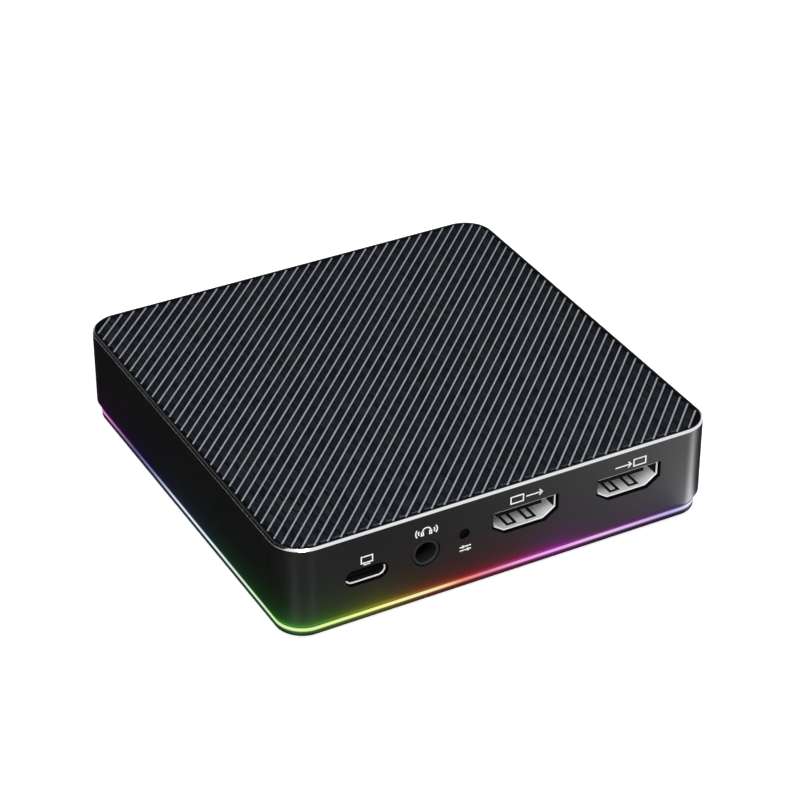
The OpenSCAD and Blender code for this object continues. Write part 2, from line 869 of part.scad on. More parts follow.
// A contact that runs back along z from tip_y, down behind leg_y and onto the board
module bent_contact(x, z, w, tip_y, leg_y) {
    translate([x - w / 2, 0, 0])
        rotate([90, 0, 90])
            linear_extrude(w)
                polygon([[tip_y, z], [leg_y, z], [leg_y, board_z],
                    [leg_y + contact_t + contact_foot, board_z],
                    [leg_y + contact_t + contact_foot, board_z + contact_t],
                    [leg_y + contact_t, board_z + contact_t],
                    [leg_y + contact_t, z + contact_t], [tip_y, z + contact_t]]);
}

module video_contacts(x) {
    tip_y = mouth_y + tongue_set + contact_set;
    leg_y = video_tail_y + contact_gap;
    color("#d9b45a")
        translate([x, 0, 0]) {
            for (cx = video_contact_row(top_row_count))
                bent_contact(cx, top_row_z, video_contact_w, tip_y, leg_y);
            for (cx = video_contact_row(low_row_count))
                bent_contact(cx, low_row_z, video_contact_w, tip_y, leg_y);
        }
}

module video_out_shell() { video_shell(video_out_x); }

module video_out_insulator() { video_insulator(video_out_x); }

module video_out_contacts() { video_contacts(video_out_x); }

module video_in_shell() { video_shell(video_in_x); }

module video_in_insulator() { video_insulator(video_in_x); }

module video_in_contacts() { video_contacts(video_in_x); }

// Host port

module at_host_legs() {
    for (side = [-1, 1], leg = host_legs)
        translate([side * (host_w + metal_t) / 2, mouth_y + leg, 0])
            children();
}

module host_port_shell() {
    color("#b9bcc2")
        translate([host_x, 0, 0]) {
            translate([0, 0, host_z])
                difference() {
                    slot_bar(host_w + 2 * metal_t, host_h + 2 * metal_t, mouth_y, host_l);
                    slot_bar(host_w, host_h, mouth_y - cut, host_l + 2 * cut);
                }
            at_host_legs()
                translate([0, 0, board_low_z])
                    standing_box([metal_t, host_leg_w, host_z - board_low_z]);
        }
}

// Rows of the host port's contacts: height, and distance of their legs behind the block
host_rows = [[host_tongue_t / 2, contact_foot + 3 * contact_t + 2 * contact_gap],
    [-host_tongue_t / 2 - contact_t, contact_gap]];
host_count = 12;

module host_port_insulator() {
    block_y = host_rear_y - host_block_l;
    color("#17171a")
        translate([host_x, 0, host_z])
            difference() {
                union() {
                    slot_bar(host_w - 2 * contact_gap, host_h - 2 * contact_gap, block_y, host_block_l);
                    translate([-host_tongue_w / 2, mouth_y + host_tongue_set, -host_tongue_t / 2])
                        cube([host_tongue_w, block_y + root - mouth_y - host_tongue_set, host_tongue_t]);
                }
                for (row = host_rows, k = [0 : host_count - 1])
                    translate([(k - (host_count - 1) / 2) * host_contact_pitch, block_y + host_block_l / 2,
                            row[0] - (row[0] < 0 ? contact_gap : 0)])
                        standing_box([host_contact_w + 2 * contact_gap, host_block_l + cut,
                            contact_t + contact_gap]);
            }
}

module host_port_contacts() {
    tip_y = mouth_y + host_tongue_set + contact_set;
    color("#d9b45a")
        translate([host_x, 0, 0])
            for (row = host_rows, k = [0 : host_count - 1])
                bent_contact((k - (host_count - 1) / 2) * host_contact_pitch, host_z + row[0],
                    host_contact_w, tip_y, host_rear_y + row[1]);
}

// Audio jack

// A strip on a box's side face at x, with its foot on the board
module side_strip(side, x, y, w, top_z) {
    translate([side * (x + strip_t / 2), y, board_z])
        standing_box([strip_t, w, top_z - board_z]);
    translate([side * (x + (strip_t + strip_foot) / 2), y, board_z])
        standing_box([strip_t + strip_foot, w, strip_t]);
}

module jack_body() {
    tip_w = strip_w + 2 * contact_gap;
    color("#1b1b1e")
        difference() {
            translate([jack_x, jack_y + jack_l / 2, board_z])
                standing_box([jack_w, jack_l, jack_h]);
            translate([jack_x, 0, jack_z])
                rod_y(jack_bore_r, jack_y - cut, jack_l - jack_end_t + cut);
            for (strip = jack_strips)
                translate([jack_x + strip[0] * jack_w / 2, jack_y + strip[1],
                        jack_z - tip_half_h - contact_gap])
                    standing_box([jack_w - 2 * jack_bore_r + tip_gap, tip_w, 2 * (tip_half_h + contact_gap)]);
        }
}

module jack_ferrule() {
    tube_y = front_y + ferrule_set;
    color("#2c2c30")
        translate([jack_x, 0, jack_z])
            difference() {
                union() {
                    rod_y(ferrule_r, tube_y, jack_y - tube_y);
                    rod_y(ferrule_flange_r, jack_y - ferrule_flange_t, ferrule_flange_t);
                }
                rod_y(ferrule_bore_r, tube_y - cut, jack_y - tube_y + 2 * cut);
                rod_y(ferrule_bore_r + ferrule_bevel, tube_y, ferrule_bevel, ferrule_bore_r);
            }
}

module jack_contacts() {
    tip_l = jack_w / 2 + strip_t - jack_bore_r - tip_gap;
    color("#d9b45a")
        for (strip = jack_strips)
            translate([jack_x, 0, 0]) {
                side_strip(strip[0], jack_w / 2, jack_y + strip[1], strip_w, jack_z + tip_half_h);
                translate([strip[0] * (jack_bore_r + tip_gap + tip_l / 2), jack_y + strip[1],
                        jack_z - tip_half_h])
                    standing_box([tip_l, strip_w, 2 * tip_half_h]);
            }
}

// Mix button

module mix_button() {
    face_y = front_y + mix_set;
    color("#111113")
        translate([mix_x, 0, mix_z]) {
            rod_y(mix_r, face_y, mix_flange_y + mix_flange_t - face_y);
            rod_y(mix_flange_r, mix_flange_y, mix_flange_t);
            rod_y(mix_r - mix_gap, mix_flange_y + mix_flange_t / 2, mix_flange_t / 2 + mix_stem_l);
        }
}

module mix_plunger() {
    color("#d7d7d2")
        translate([mix_x, 0, mix_z]) {
            rod_y(plunger_r, plunger_y, plunger_flange_y + plunger_flange_t - plunger_y);
            rod_y(plunger_flange_r, plunger_flange_y, plunger_flange_t);
        }
}

module mix_switch_body() {
    color("#1b1b1e")
        difference() {
            translate([mix_x, switch_y + switch_d / 2, board_z])
                standing_box([switch_w, switch_d, switch_h]);
            translate([mix_x, 0, mix_z])
                rod_y(chamber_r, switch_y - cut, chamber_y + dome_t - switch_y + cut);
        }
}

module mix_switch_cover() {
    color("#b9bcc2")
        difference() {
            translate([mix_x, cover_y + strip_t / 2, board_z])
                standing_box([switch_w, strip_t, switch_h]);
            translate([mix_x, 0, mix_z])
                rod_y(plunger_r + mix_gap, cover_y - cut, strip_t + 2 * cut);
        }
}

module mix_dome() {
    rim_r = chamber_r - 2 * contact_gap;
    color("#c9ccd2")
        translate([mix_x, chamber_y + dome_t, mix_z])
            rotate([90, 0, 0])
                rotate_extrude()
                    polygon([[0, dome_h], [dome_crown_r, dome_h], [rim_r, 0], [rim_r, dome_t],
                        [dome_crown_r, dome_h + dome_t], [0, dome_h + dome_t]]);
}

module mix_terminals() {
    color("#c9ccd2")
        for (side = [-1, 1], row = terminal_rows)
            translate([mix_x, 0, 0])
                side_strip(side, switch_w / 2, switch_y + row * switch_d, 2 * strip_t, mix_z);
}

// Electronics on the main board

// A box that stands on the main board at a place in plan
module on_board(place, size, z = board_z) {
    translate([place[0], place[1], z])
        standing_box(size);
}

module capture_chip() {
    color("#202024")
        on_board(chip_place, [chip_w, chip_w, chip_h]);
}

module thermal_pad() {
    color("#8fa3b5")
        on_board(chip_place, [chip_w, chip_w, pad_t], board_z + chip_h);
}

module heat_sink() {
    sink_z = board_z + chip_h + pad_t;
    fin_step = (sink_w - fin_t) / (fin_count - 1);
    color("#3a3d42") {
        on_board(chip_place, [sink_w, sink_w, sink_base_t], sink_z);
        for (k = [0 : fin_count - 1])
            on_board([chip_place[0] - (sink_w - fin_t) / 2 + k * fin_step, chip_place[1]],
                [fin_t, sink_w, roof_z - sink_gap - sink_z], sink_z);
    }
}

module video_chips() {
    color("#202024")
        for (x = [video_out_x, video_in_x])
            on_board([x, video_chip_y], [video_chip_w, video_chip_w, flat_chip_h]);
}

module memory_chips() {
    color("#202024")
        for (place = memory_places)
            on_board(place, [memory_w, memory_l, flat_chip_h]);
}

module bridge_chip() {
    color("#202024")
        on_board([bridge_x, bridge_y], [bridge_w, bridge_w, flat_chip_h]);
}

module audio_chip() {
    color("#202024")
        on_board([jack_x, audio_y], [audio_chip_w, audio_chip_w, flat_chip_h]);
}

module flash_chip() {
    color("#202024")
        on_board(flash_place, [flash_w, flash_w, flash_h]);
}

module crystals() {
    color("#c9ccd2")
        for (place = crystal_places)
            on_board(place, crystal_size);
}

module power_coils() {
    color("#4a4a4e")
        for (place = coil_places)
            on_board(place, [coil_w, coil_w, coil_h]);
}

module power_capacitors() {
    color("#c9ccd2")
        for (x = can_columns) {
            on_board([x, can_y], [can_foot_w, can_foot_w, can_foot_h]);
            translate([x, can_y, board_z + can_foot_h / 2])
                cylinder(r = can_r, h = can_h - can_foot_h / 2);
        }
}

module small_capacitors() {
    color("#a58a63")
        for (side = [-1, 1], k = [0 : cap_count - 1])
            on_board([chip_place[0] + (k - (cap_count - 1) / 2) * cap_pitch,
                chip_place[1] + side * cap_step], [cap_l, cap_w, cap_w]);
}

body_shell();
top_panel();
panel_glue();
light_ring();
base_plate();
foot_front_left();
foot_front_right();
foot_rear_left();
foot_rear_right();
base_screws();
light_board();
light_leds();
light_driver();
link_block();
link_pins();
main_board();
board_screws();
video_out_shell();
video_out_insulator();
video_out_contacts();
video_in_shell();
video_in_insulator();
video_in_contacts();
host_port_shell();
host_port_insulator();
host_port_contacts();
jack_body();
jack_ferrule();
jack_contacts();
mix_button();
mix_plunger();
mix_switch_body();
mix_switch_cover();
mix_dome();
mix_terminals();
capture_chip();
thermal_pad();
heat_sink();
video_chips();
memory_chips();
bridge_chip();
audio_chip();
flash_chip();
crystals();
power_coils();
power_capacitors();
small_capacitors();
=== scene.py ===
import json
import math
import bmesh
import bpy
from mathutils import Matrix, Vector


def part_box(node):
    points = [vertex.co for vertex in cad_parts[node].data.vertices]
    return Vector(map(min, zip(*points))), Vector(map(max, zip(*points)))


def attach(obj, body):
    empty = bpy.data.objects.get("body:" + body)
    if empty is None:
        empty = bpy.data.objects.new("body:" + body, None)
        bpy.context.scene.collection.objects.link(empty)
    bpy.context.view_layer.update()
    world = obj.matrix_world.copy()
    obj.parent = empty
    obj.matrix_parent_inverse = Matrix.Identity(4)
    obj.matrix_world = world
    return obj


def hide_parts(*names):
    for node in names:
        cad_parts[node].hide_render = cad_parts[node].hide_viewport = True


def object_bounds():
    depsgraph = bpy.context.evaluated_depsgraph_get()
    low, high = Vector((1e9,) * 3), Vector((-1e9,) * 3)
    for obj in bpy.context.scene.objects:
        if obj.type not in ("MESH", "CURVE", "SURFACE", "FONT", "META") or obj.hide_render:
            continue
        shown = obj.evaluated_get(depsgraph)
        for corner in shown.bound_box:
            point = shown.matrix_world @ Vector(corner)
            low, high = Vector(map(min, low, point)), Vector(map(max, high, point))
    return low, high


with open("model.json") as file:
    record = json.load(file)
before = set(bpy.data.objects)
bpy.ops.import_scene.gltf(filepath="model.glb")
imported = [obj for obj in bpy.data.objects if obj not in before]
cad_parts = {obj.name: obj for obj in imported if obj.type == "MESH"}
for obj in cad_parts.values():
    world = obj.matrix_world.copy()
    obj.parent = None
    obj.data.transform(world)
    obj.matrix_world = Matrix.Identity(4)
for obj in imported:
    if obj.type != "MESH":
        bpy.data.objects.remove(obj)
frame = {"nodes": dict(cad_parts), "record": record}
cadLow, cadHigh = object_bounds()
mm = 0.001


# Camera

viewpoint = {
    "azimuth": -28.44,      # degrees, 0 looks along +Y
    "elevation": 32.90,
    "distance": 0.59794,    # metres from a point in the case's axis
    "sideShift": 0.0021,
    "upShift": 0.01232,
    "baseLevel": 0.0008,
    "lens": 123.32,         # millimetres on a sensor of 36
    "sensor": 36.0,
}


def setCamera(setup):
    turn = math.radians(setup["azimuth"])
    lift = math.radians(setup["elevation"])
    back = Vector((math.sin(turn) * math.cos(lift), -math.cos(turn) * math.cos(lift), math.sin(lift)))
    right = Vector((math.cos(turn), math.sin(turn), 0.0))
    up = back.cross(right)
    place = back * setup["distance"] + right * setup["sideShift"] + up * setup["upShift"]
    place.z += setup["baseLevel"]
    data = bpy.data.cameras.new("photoCamera")
    data.lens = setup["lens"]
    data.sensor_width = setup["sensor"]
    data.clip_start = 0.01
    camera = bpy.data.objects.new("photoCamera", data)
    camera.matrix_world = Matrix.Translation(place) @ Matrix((right, up, back)).transposed().to_4x4()
    bpy.context.scene.collection.objects.link(camera)
    bpy.context.scene.camera = camera


setCamera(viewpoint)
print("camera set")


# Node trees written as sums

class Wire:
    def __init__(self, maker, socket):
        self.maker = maker
        self.socket = socket

    def __add__(self, other):
        return self.maker.math("ADD", self, other)

    def __radd__(self, other):
        return self.maker.math("ADD", other, self)

    def __sub__(self, other):
        return self.maker.math("SUBTRACT", self, other)

    def __rsub__(self, other):
        return self.maker.math("SUBTRACT", other, self)

    def __mul__(self, other):
        return self.maker.math("MULTIPLY", self, other)

    def __rmul__(self, other):
        return self.maker.math("MULTIPLY", other, self)

    def __truediv__(self, other):
        return self.maker.math("DIVIDE", self, other)

    def __rtruediv__(self, other):
        return self.maker.math("DIVIDE", other, self)

    def __pow__(self, other):
        return self.maker.math("POWER", self, other)

    def __lt__(self, other):
        return self.maker.math("LESS_THAN", self, other)

    def __gt__(self, other):
        return self.maker.math("GREATER_THAN", self, other)

    def __abs__(self):
        return self.maker.math("ABSOLUTE", self)


class NodeMaker:
    def __init__(self, tree):
        self.tree = tree

    def plug(self, socket, item):
        if isinstance(item, Wire):
            self.tree.links.new(item.socket, socket)
        elif isinstance(item, tuple) and socket.type == "RGBA":
            socket.default_value = (*item[:3], 1.0)
        else:
            socket.default_value = item

    def add(self, kind, settings=None, sockets=None, output=0):
        node = self.tree.nodes.new(kind)
        for name, setting in (settings or {}).items():
            if name == "stops":
                setStops(node.color_ramp, setting)
            else:
                setattr(node, name, setting)
        for name, item in (sockets or {}).items():
            self.plug(node.inputs[name], item)
        return Wire(self, node.outputs[output])

    def math(self, operation, *items):
        return self.add("ShaderNodeMath", {"operation": operation}, dict(enumerate(items)))

    def clip(self, item):
        return self.add("ShaderNodeClamp", None, {"Value": item})

    def fade(self, item, start, end):    # 0 at start, 1 at end, smooth between
        return self.add("ShaderNodeMapRange", {"interpolation_type": "SMOOTHSTEP"},
                        {"Value": item, "From Min": start, "From Max": end})

    def split(self, vector):
        node = self.tree.nodes.new("ShaderNodeSeparateXYZ")
        self.plug(node.inputs[0], vector)
        return [Wire(self, output) for output in node.outputs]

    def join(self, x, y, z):
        return self.add("ShaderNodeCombineXYZ", None, {0: x, 1: y, 2: z})


def setStops(ramp, stops):
    while len(ramp.elements) < len(stops):
        ramp.elements.new(0.5)
    for element, (place, colour) in zip(ramp.elements, stops):
        element.position = place
        element.color = (*colour, 1.0)


class Look(NodeMaker):
    named = {"colour": "Base Color", "roughness": "Roughness", "metallic": "Metallic", "normal": "Normal",
             "specular": "Specular IOR Level", "glow": "Emission Color", "glowStrength": "Emission Strength"}

    def __init__(self, name, **constants):
        self.material = bpy.data.materials.new(name)
        self.material.use_nodes = True
        super().__init__(self.material.node_tree)
        self.tree.nodes.clear()
        self.shader = self.tree.nodes.new("ShaderNodeBsdfPrincipled")
        output = self.tree.nodes.new("ShaderNodeOutputMaterial")
        self.tree.links.new(self.shader.outputs[0], output.inputs["Surface"])
        self.place = self.add("ShaderNodeTexCoord", None, None, "Object")
        for socket, item in constants.items():
            self.set(socket, item)

    def set(self, socket, item):
        self.plug(self.shader.inputs[self.named[socket]], item)

    def noise(self, scale, detail=2.0, roughness=0.5, vector=None):
        return self.add("ShaderNodeTexNoise", None, {"Vector": vector or self.place, "Scale": scale,
                                                     "Detail": detail, "Roughness": roughness})

    def stretched(self, x, y, z):
        return self.add("ShaderNodeMapping", None, {"Vector": self.place, "Scale": (x, y, z)})

    def blend(self, factor, first, second):
        return self.add("ShaderNodeMix", {"data_type": "RGBA"}, {0: factor, 6: first, 7: second}, 2)

    def bump(self, height, depth, strength=1.0):
        self.set("normal", self.add("ShaderNodeBump", None, {"Height": height, "Distance": depth,
                                                             "Strength": strength}))


# Finishes

rainbow = {     # by the share of a turn, from the middle of the left side by way of the front
    "ring": [
        (0.000, (0.78, 0.83, 0.92)),
        (0.043, (0.82, 0.92, 0.92)),
        (0.071, (0.70, 0.90, 0.78)),
        (0.100, (0.66, 0.92, 0.64)),
        (0.118, (0.66, 0.96, 0.42)),
        (0.141, (0.75, 0.97, 0.30)),
        (0.164, (0.92, 0.95, 0.28)),
        (0.189, (0.99, 0.88, 0.40)),
        (0.206, (1.00, 0.66, 0.32)),
        (0.219, (0.90, 0.22, 0.13)),
        (0.237, (0.86, 0.17, 0.32)),
        (0.260, (0.92, 0.30, 0.70)),
        (0.288, (0.92, 0.34, 0.88)),
        (0.316, (0.87, 0.45, 0.90)),
        (0.341, (0.73, 0.43, 0.88)),
        (0.359, (0.50, 0.40, 0.84)),
        (0.376, (0.66, 0.74, 0.98)),
        (0.400, (0.70, 0.86, 1.00)),
        (0.460, (0.20, 0.80, 1.00)),
        (0.540, (0.18, 1.00, 0.52)),
        (0.620, (0.80, 1.00, 0.24)),
        (0.690, (1.00, 0.78, 0.22)),
        (0.750, (1.00, 0.26, 0.12)),
        (0.810, (1.00, 0.18, 0.46)),
        (0.883, (0.84, 0.26, 0.74)),
        (0.901, (0.32, 0.15, 0.34)),
        (0.924, (0.11, 0.075, 0.26)),
        (0.951, (0.25, 0.26, 0.48)),
        (0.981, (0.70, 0.75, 0.90)),
        (1.000, (0.78, 0.83, 0.92)),
    ],
    "spill": [
        (0.000, (0.06, 0.14, 0.26)),
        (0.043, (0.03, 0.18, 0.26)),
        (0.071, (0.06, 0.30, 0.14)),
        (0.105, (0.04, 0.42, 0.05)),
        (0.125, (0.08, 0.80, 0.04)),
        (0.141, (0.24, 0.76, 0.00)),
        (0.164, (0.76, 0.74, 0.00)),
        (0.189, (0.88, 0.20, 0.00)),
        (0.219, (1.00, 0.02, 0.00)),
        (0.237, (1.00, 0.03, 0.08)),
        (0.260, (1.00, 0.02, 0.28)),
        (0.288, (0.96, 0.00, 0.96)),
        (0.316, (0.36, 0.05, 0.34)),
        (0.341, (0.28, 0.03, 0.36)),
        (0.370, (0.06, 0.04, 0.28)),
        (0.460, (0.02, 0.20, 0.40)),
        (0.540, (0.02, 0.40, 0.12)),
        (0.620, (0.30, 0.50, 0.00)),
        (0.750, (0.60, 0.06, 0.00)),
        (0.860, (0.40, 0.00, 0.36)),
        (0.901, (0.12, 0.00, 0.18)),
        (0.951, (0.02, 0.00, 0.25)),
        (1.000, (0.06, 0.14, 0.26)),
    ],
}


def roundTheCase(look, stops):      # a colour by a point's direction from the middle, and its height
    x, y, z = look.split(look.place)
    turn = look.math("ARCTAN2", y, x) / (2 * math.pi) + 0.5
    return look.add("ShaderNodeValToRGB", {"stops": stops}, {"Fac": turn}), z


def spill(look, level, reaches):    # the ring's light on what stands beside it, dying away up and down
    colour, z = roundTheCase(look, rainbow["spill"])
    away = abs(z - level * mm)
    parts = [share * look.math("EXPONENT", 0.0 - away / (reach * mm)) for share, reach in reaches]
    look.set("glow", look.blend(sum(parts[1:], parts[0]), (0.0, 0.0, 0.0), colour))


shellFinish = {"black": (0.0042, 0.0041, 0.0045), "worn": (0.0095, 0.0092, 0.0100), "roughness": 0.27,
               "glowLevel": 3.6, "glowReaches": [(0.8, 0.8), (0.2, 3.6)], "glowStrength": 0.42}


def satinBlack():
    look = Look("satinBlack", specular=0.4, glowStrength=shellFinish["glowStrength"])
    grain = look.noise(5200, 3.0, 0.6)
    cloud = look.noise(60, 2.0)
    look.set("colour", look.blend(cloud * 0.35, shellFinish["black"], shellFinish["worn"]))
    look.set("roughness", shellFinish["roughness"] + 0.08 * grain + 0.05 * cloud)
    look.bump(grain, 0.004 * mm, 0.5)
    spill(look, shellFinish["glowLevel"], shellFinish["glowReaches"])
    return look.material


baseFinish = {"glowLevel": 2.2, "glowReaches": [(1.0, 0.5)], "glowStrength": 0.16}


def baseBlack():
    look = Look("baseBlack", specular=0.15, glowStrength=baseFinish["glowStrength"])
    grain = look.noise(2600, 3.0, 0.6)
    look.set("colour", look.blend(grain * 0.5, (0.0035, 0.0035, 0.0040), (0.010, 0.010, 0.011)))
    look.set("roughness", 0.5 + 0.16 * grain)
    look.bump(grain, 0.02 * mm, 0.5)
    spill(look, baseFinish["glowLevel"], baseFinish["glowReaches"])
    return look.material


def cutRim():
    look = Look("cutRim", metallic=1.0)
    streak = look.noise(900, 2.0, 0.5, look.stretched(0.2, 0.2, 3.0))
    look.set("colour", look.blend(streak * 0.4, (0.80, 0.81, 0.83), (0.62, 0.63, 0.66)))
    look.set("roughness", 0.10 + 0.06 * streak)
    look.bump(streak, 0.003 * mm, 0.2)
    return look.material


def weaveThread():
    look = Look("weaveThread", specular=0.05)
    tint = look.add("ShaderNodeAttribute", {"attribute_name": "tint"}, None, "Fac")
    fibre = look.noise(2600, 2.0, 0.6, look.stretched(3.0, 0.5, 1.0))
    lint = look.fade(fibre, 0.42, 0.72) * 0.4
    patch = look.fade(look.noise(240, 2.0), 0.4, 0.62)
    navy = look.blend(tint, (0.0030, 0.0050, 0.0100), (0.020, 0.025, 0.038))
    slate = look.blend(tint, (0.0034, 0.0038, 0.0048), (0.030, 0.033, 0.040))
    look.set("colour", look.blend(lint, look.blend(patch, navy, slate), (0.055, 0.060, 0.070)))
    look.set("roughness", 0.42 + 0.16 * fibre)
    look.bump(fibre, 0.006 * mm, 0.5)
    return look.material


def panelBlack():
    look = Look("panelBlack", specular=0.03)
    grain = look.noise(3800, 2.0)
    look.set("colour", look.blend(grain * 0.5, (0.0030, 0.0034, 0.0046), (0.007, 0.008, 0.010)))
    look.set("roughness", 0.5 + 0.2 * grain)
    look.bump(grain, 0.006 * mm, 0.5)
    return look.material


def ribSilver():
    look = Look("ribSilver", metallic=0.7)
    streak = look.noise(1500, 3.0, 0.6)
    look.set("colour", look.blend(streak, (0.55, 0.57, 0.63), (0.82, 0.84, 0.92)))
    look.set("roughness", 0.38 + 0.2 * streak)
    look.bump(streak, 0.006 * mm, 0.4)
    return look.material


# painted highlight: the grey of short bars that stand in for light caught on the panel's front edge
def hemGrey():
    look = Look("hemGrey", specular=0.2)
    fibre = look.noise(3000, 2.0, 0.6)
    look.set("colour", look.blend(fibre, (0.05, 0.053, 0.06), (0.10, 0.105, 0.115)))
    look.set("roughness", 0.5 + 0.2 * fibre)
    look.bump(fibre, 0.006 * mm, 0.5)
    return look.material


ringFinish = {"middle": 2.85, "half": 0.55, "strength": 0.95, "unlit": (0.01, 0.01, 0.012),
              "lowFade": (2.25, 2.6), "highFade": (3.42, 3.15)}    # heights in millimetres


def litRing():
    look = Look("litRing", roughness=0.4, specular=0.1, glowStrength=ringFinish["strength"])
    colour, z = roundTheCase(look, rainbow["ring"])
    height = z / mm
    lit = look.fade(height, *ringFinish["lowFade"]) * look.fade(height, *ringFinish["highFade"])
    colour = look.blend(lit, ringFinish["unlit"], colour)
    edge = abs(height - ringFinish["middle"]) / ringFinish["half"]
    frost = look.noise(700, 2.0)
    deep = look.add("ShaderNodeHueSaturation", None, {"Saturation": 1.5, "Value": 0.6, "Color": colour})
    look.set("glow", look.blend(look.fade(edge + 0.12 * frost, 0.35, 1.1), colour, deep))
    look.set("colour", look.blend(frost * 0.3, (0.05, 0.05, 0.055), (0.08, 0.08, 0.09)))
    return look.material


def moulded(name, colour, pale, roughness, scale, depth, **constants):
    look = Look(name, **constants)
    grain = look.noise(scale, 3.0, 0.6)
    cloud = look.noise(scale * 0.04, 2.0)
    look.set("colour", look.blend(grain * 0.35 + cloud * 0.35, colour, pale))
    look.set("roughness", roughness + 0.14 * (grain - 0.5))
    look.bump(grain, depth * mm, 0.5)
    return look.material


def brushed(look, along, colour, dark):     # the streaks of drawn metal, and their colour
    streak = look.noise(1400, 3.0, 0.6, look.stretched(*along))
    cloud = look.noise(220, 2.0)
    look.bump(streak, 0.003 * mm, 0.4)
    return streak, look.blend(streak * 0.45 + cloud * 0.25, colour, dark)


def sheetMetal(name, colour, dark, roughness, along, metallic=1.0):
    look = Look(name, metallic=metallic)
    streak, drawn = brushed(look, along, colour, dark)
    look.set("colour", drawn)
    look.set("roughness", roughness + 0.12 * streak)
    return look.material


portShade = {       # millimetres: where the sockets' metal lies in the dark
    "mouth": -49.15, "slotMouth": -49.0, "slotFloor": 12.44, "wall": 7.1, "leftLip": -7.0,
    "leftLipLow": 13.3, "hostLow": 12.1, "hostHigh": 13.3, "hostEnd": -28.9, "jackX": -18.7, "jackZ": 13.3,
    "bore": 2.42,
    "black": (0.0016, 0.0016, 0.0018), "paintedBoreShade": (0.0010, 0.0010, 0.0011),
}


def portMetal(name, shadeAt):       # bright sheet metal, black where shadeAt is 1
    look = Look(name, specular=0.2)
    shade = look.clip(shadeAt(*look.split(look.place)))
    streak, bright = brushed(look, metalAlong, (0.88, 0.88, 0.89), (0.64, 0.64, 0.66))
    look.set("colour", look.blend(shade, bright, portShade["black"]))
    look.set("metallic", 0.35 * (1 - shade))
    look.set("roughness", 0.42 + 0.12 * streak + 0.3 * shade)
    return look.material


def videoShade(middle):     # the slots' cut edges, the right wall and the left lip of a video port
    def shadeAt(x, y, z):
        aside = x - middle * mm
        slots = (z < portShade["slotFloor"] * mm) * (y > portShade["slotMouth"] * mm)
        wall = (aside > portShade["wall"] * mm) * (y > portShade["mouth"] * mm)
        lip = (aside < portShade["leftLip"] * mm) * (z > portShade["leftLipLow"] * mm)
        return slots + wall + lip

    return shadeAt


def hostShade(x, y, z):     # all of the host port but the front of its lower lip and right end
    upper = (z > portShade["hostLow"] * mm) * (x < portShade["hostEnd"] * mm)
    return (y > portShade["mouth"] * mm) + upper + (z > portShade["hostHigh"] * mm)


def ferruleRing():          # a satin ring, black inside its bore as painted shade
    look = Look("ferruleRing", specular=0.3)
    grain = look.noise(3000, 3.0, 0.6)
    x, y, z = look.split(look.place)
    aside = x - portShade["jackX"] * mm
    above = z - portShade["jackZ"] * mm
    bore = aside * aside + above * above < (portShade["bore"] * mm) ** 2
    ring = look.blend(grain * 0.6, (0.010, 0.010, 0.011), (0.026, 0.026, 0.028))
    # painted shade: the bore's wall is coloured near-black
    look.set("colour", look.blend(bore, ring, portShade["paintedBoreShade"]))
    look.set("roughness", 0.36 + 0.1 * grain + 0.3 * bore)
    look.bump(grain, 0.008 * mm, 0.5)
    return look.material


def boardMask(name, mask, copper):
    look = Look(name, specular=0.5)
    x, y, z = look.split(look.place)
    lanes = look.math("PINGPONG", (x + 0.35 * y) * 1000, 0.6) < 0.16
    cells = look.add("ShaderNodeTexVoronoi", {"feature": "DISTANCE_TO_EDGE"},
                     {"Vector": look.place, "Scale": 130.0})
    track = lanes * (cells > 0.08)
    speck = look.noise(2400, 2.0)
    look.set("colour", look.blend(track * 0.5 + speck * 0.15, mask, copper))
    look.set("roughness", 0.34 + 0.12 * speck)
    look.bump(track, 0.02 * mm, 0.4)
    return look.material


def inkWhite():
    look = Look("inkWhite", specular=0.3)
    speck = look.noise(4200, 2.0)
    look.set("colour", look.blend(speck * 0.5, (0.82, 0.82, 0.82), (0.62, 0.62, 0.63)))
    look.set("roughness", 0.5 + 0.15 * speck)
    look.bump(speck, 0.004 * mm, 0.5)
    return look.material


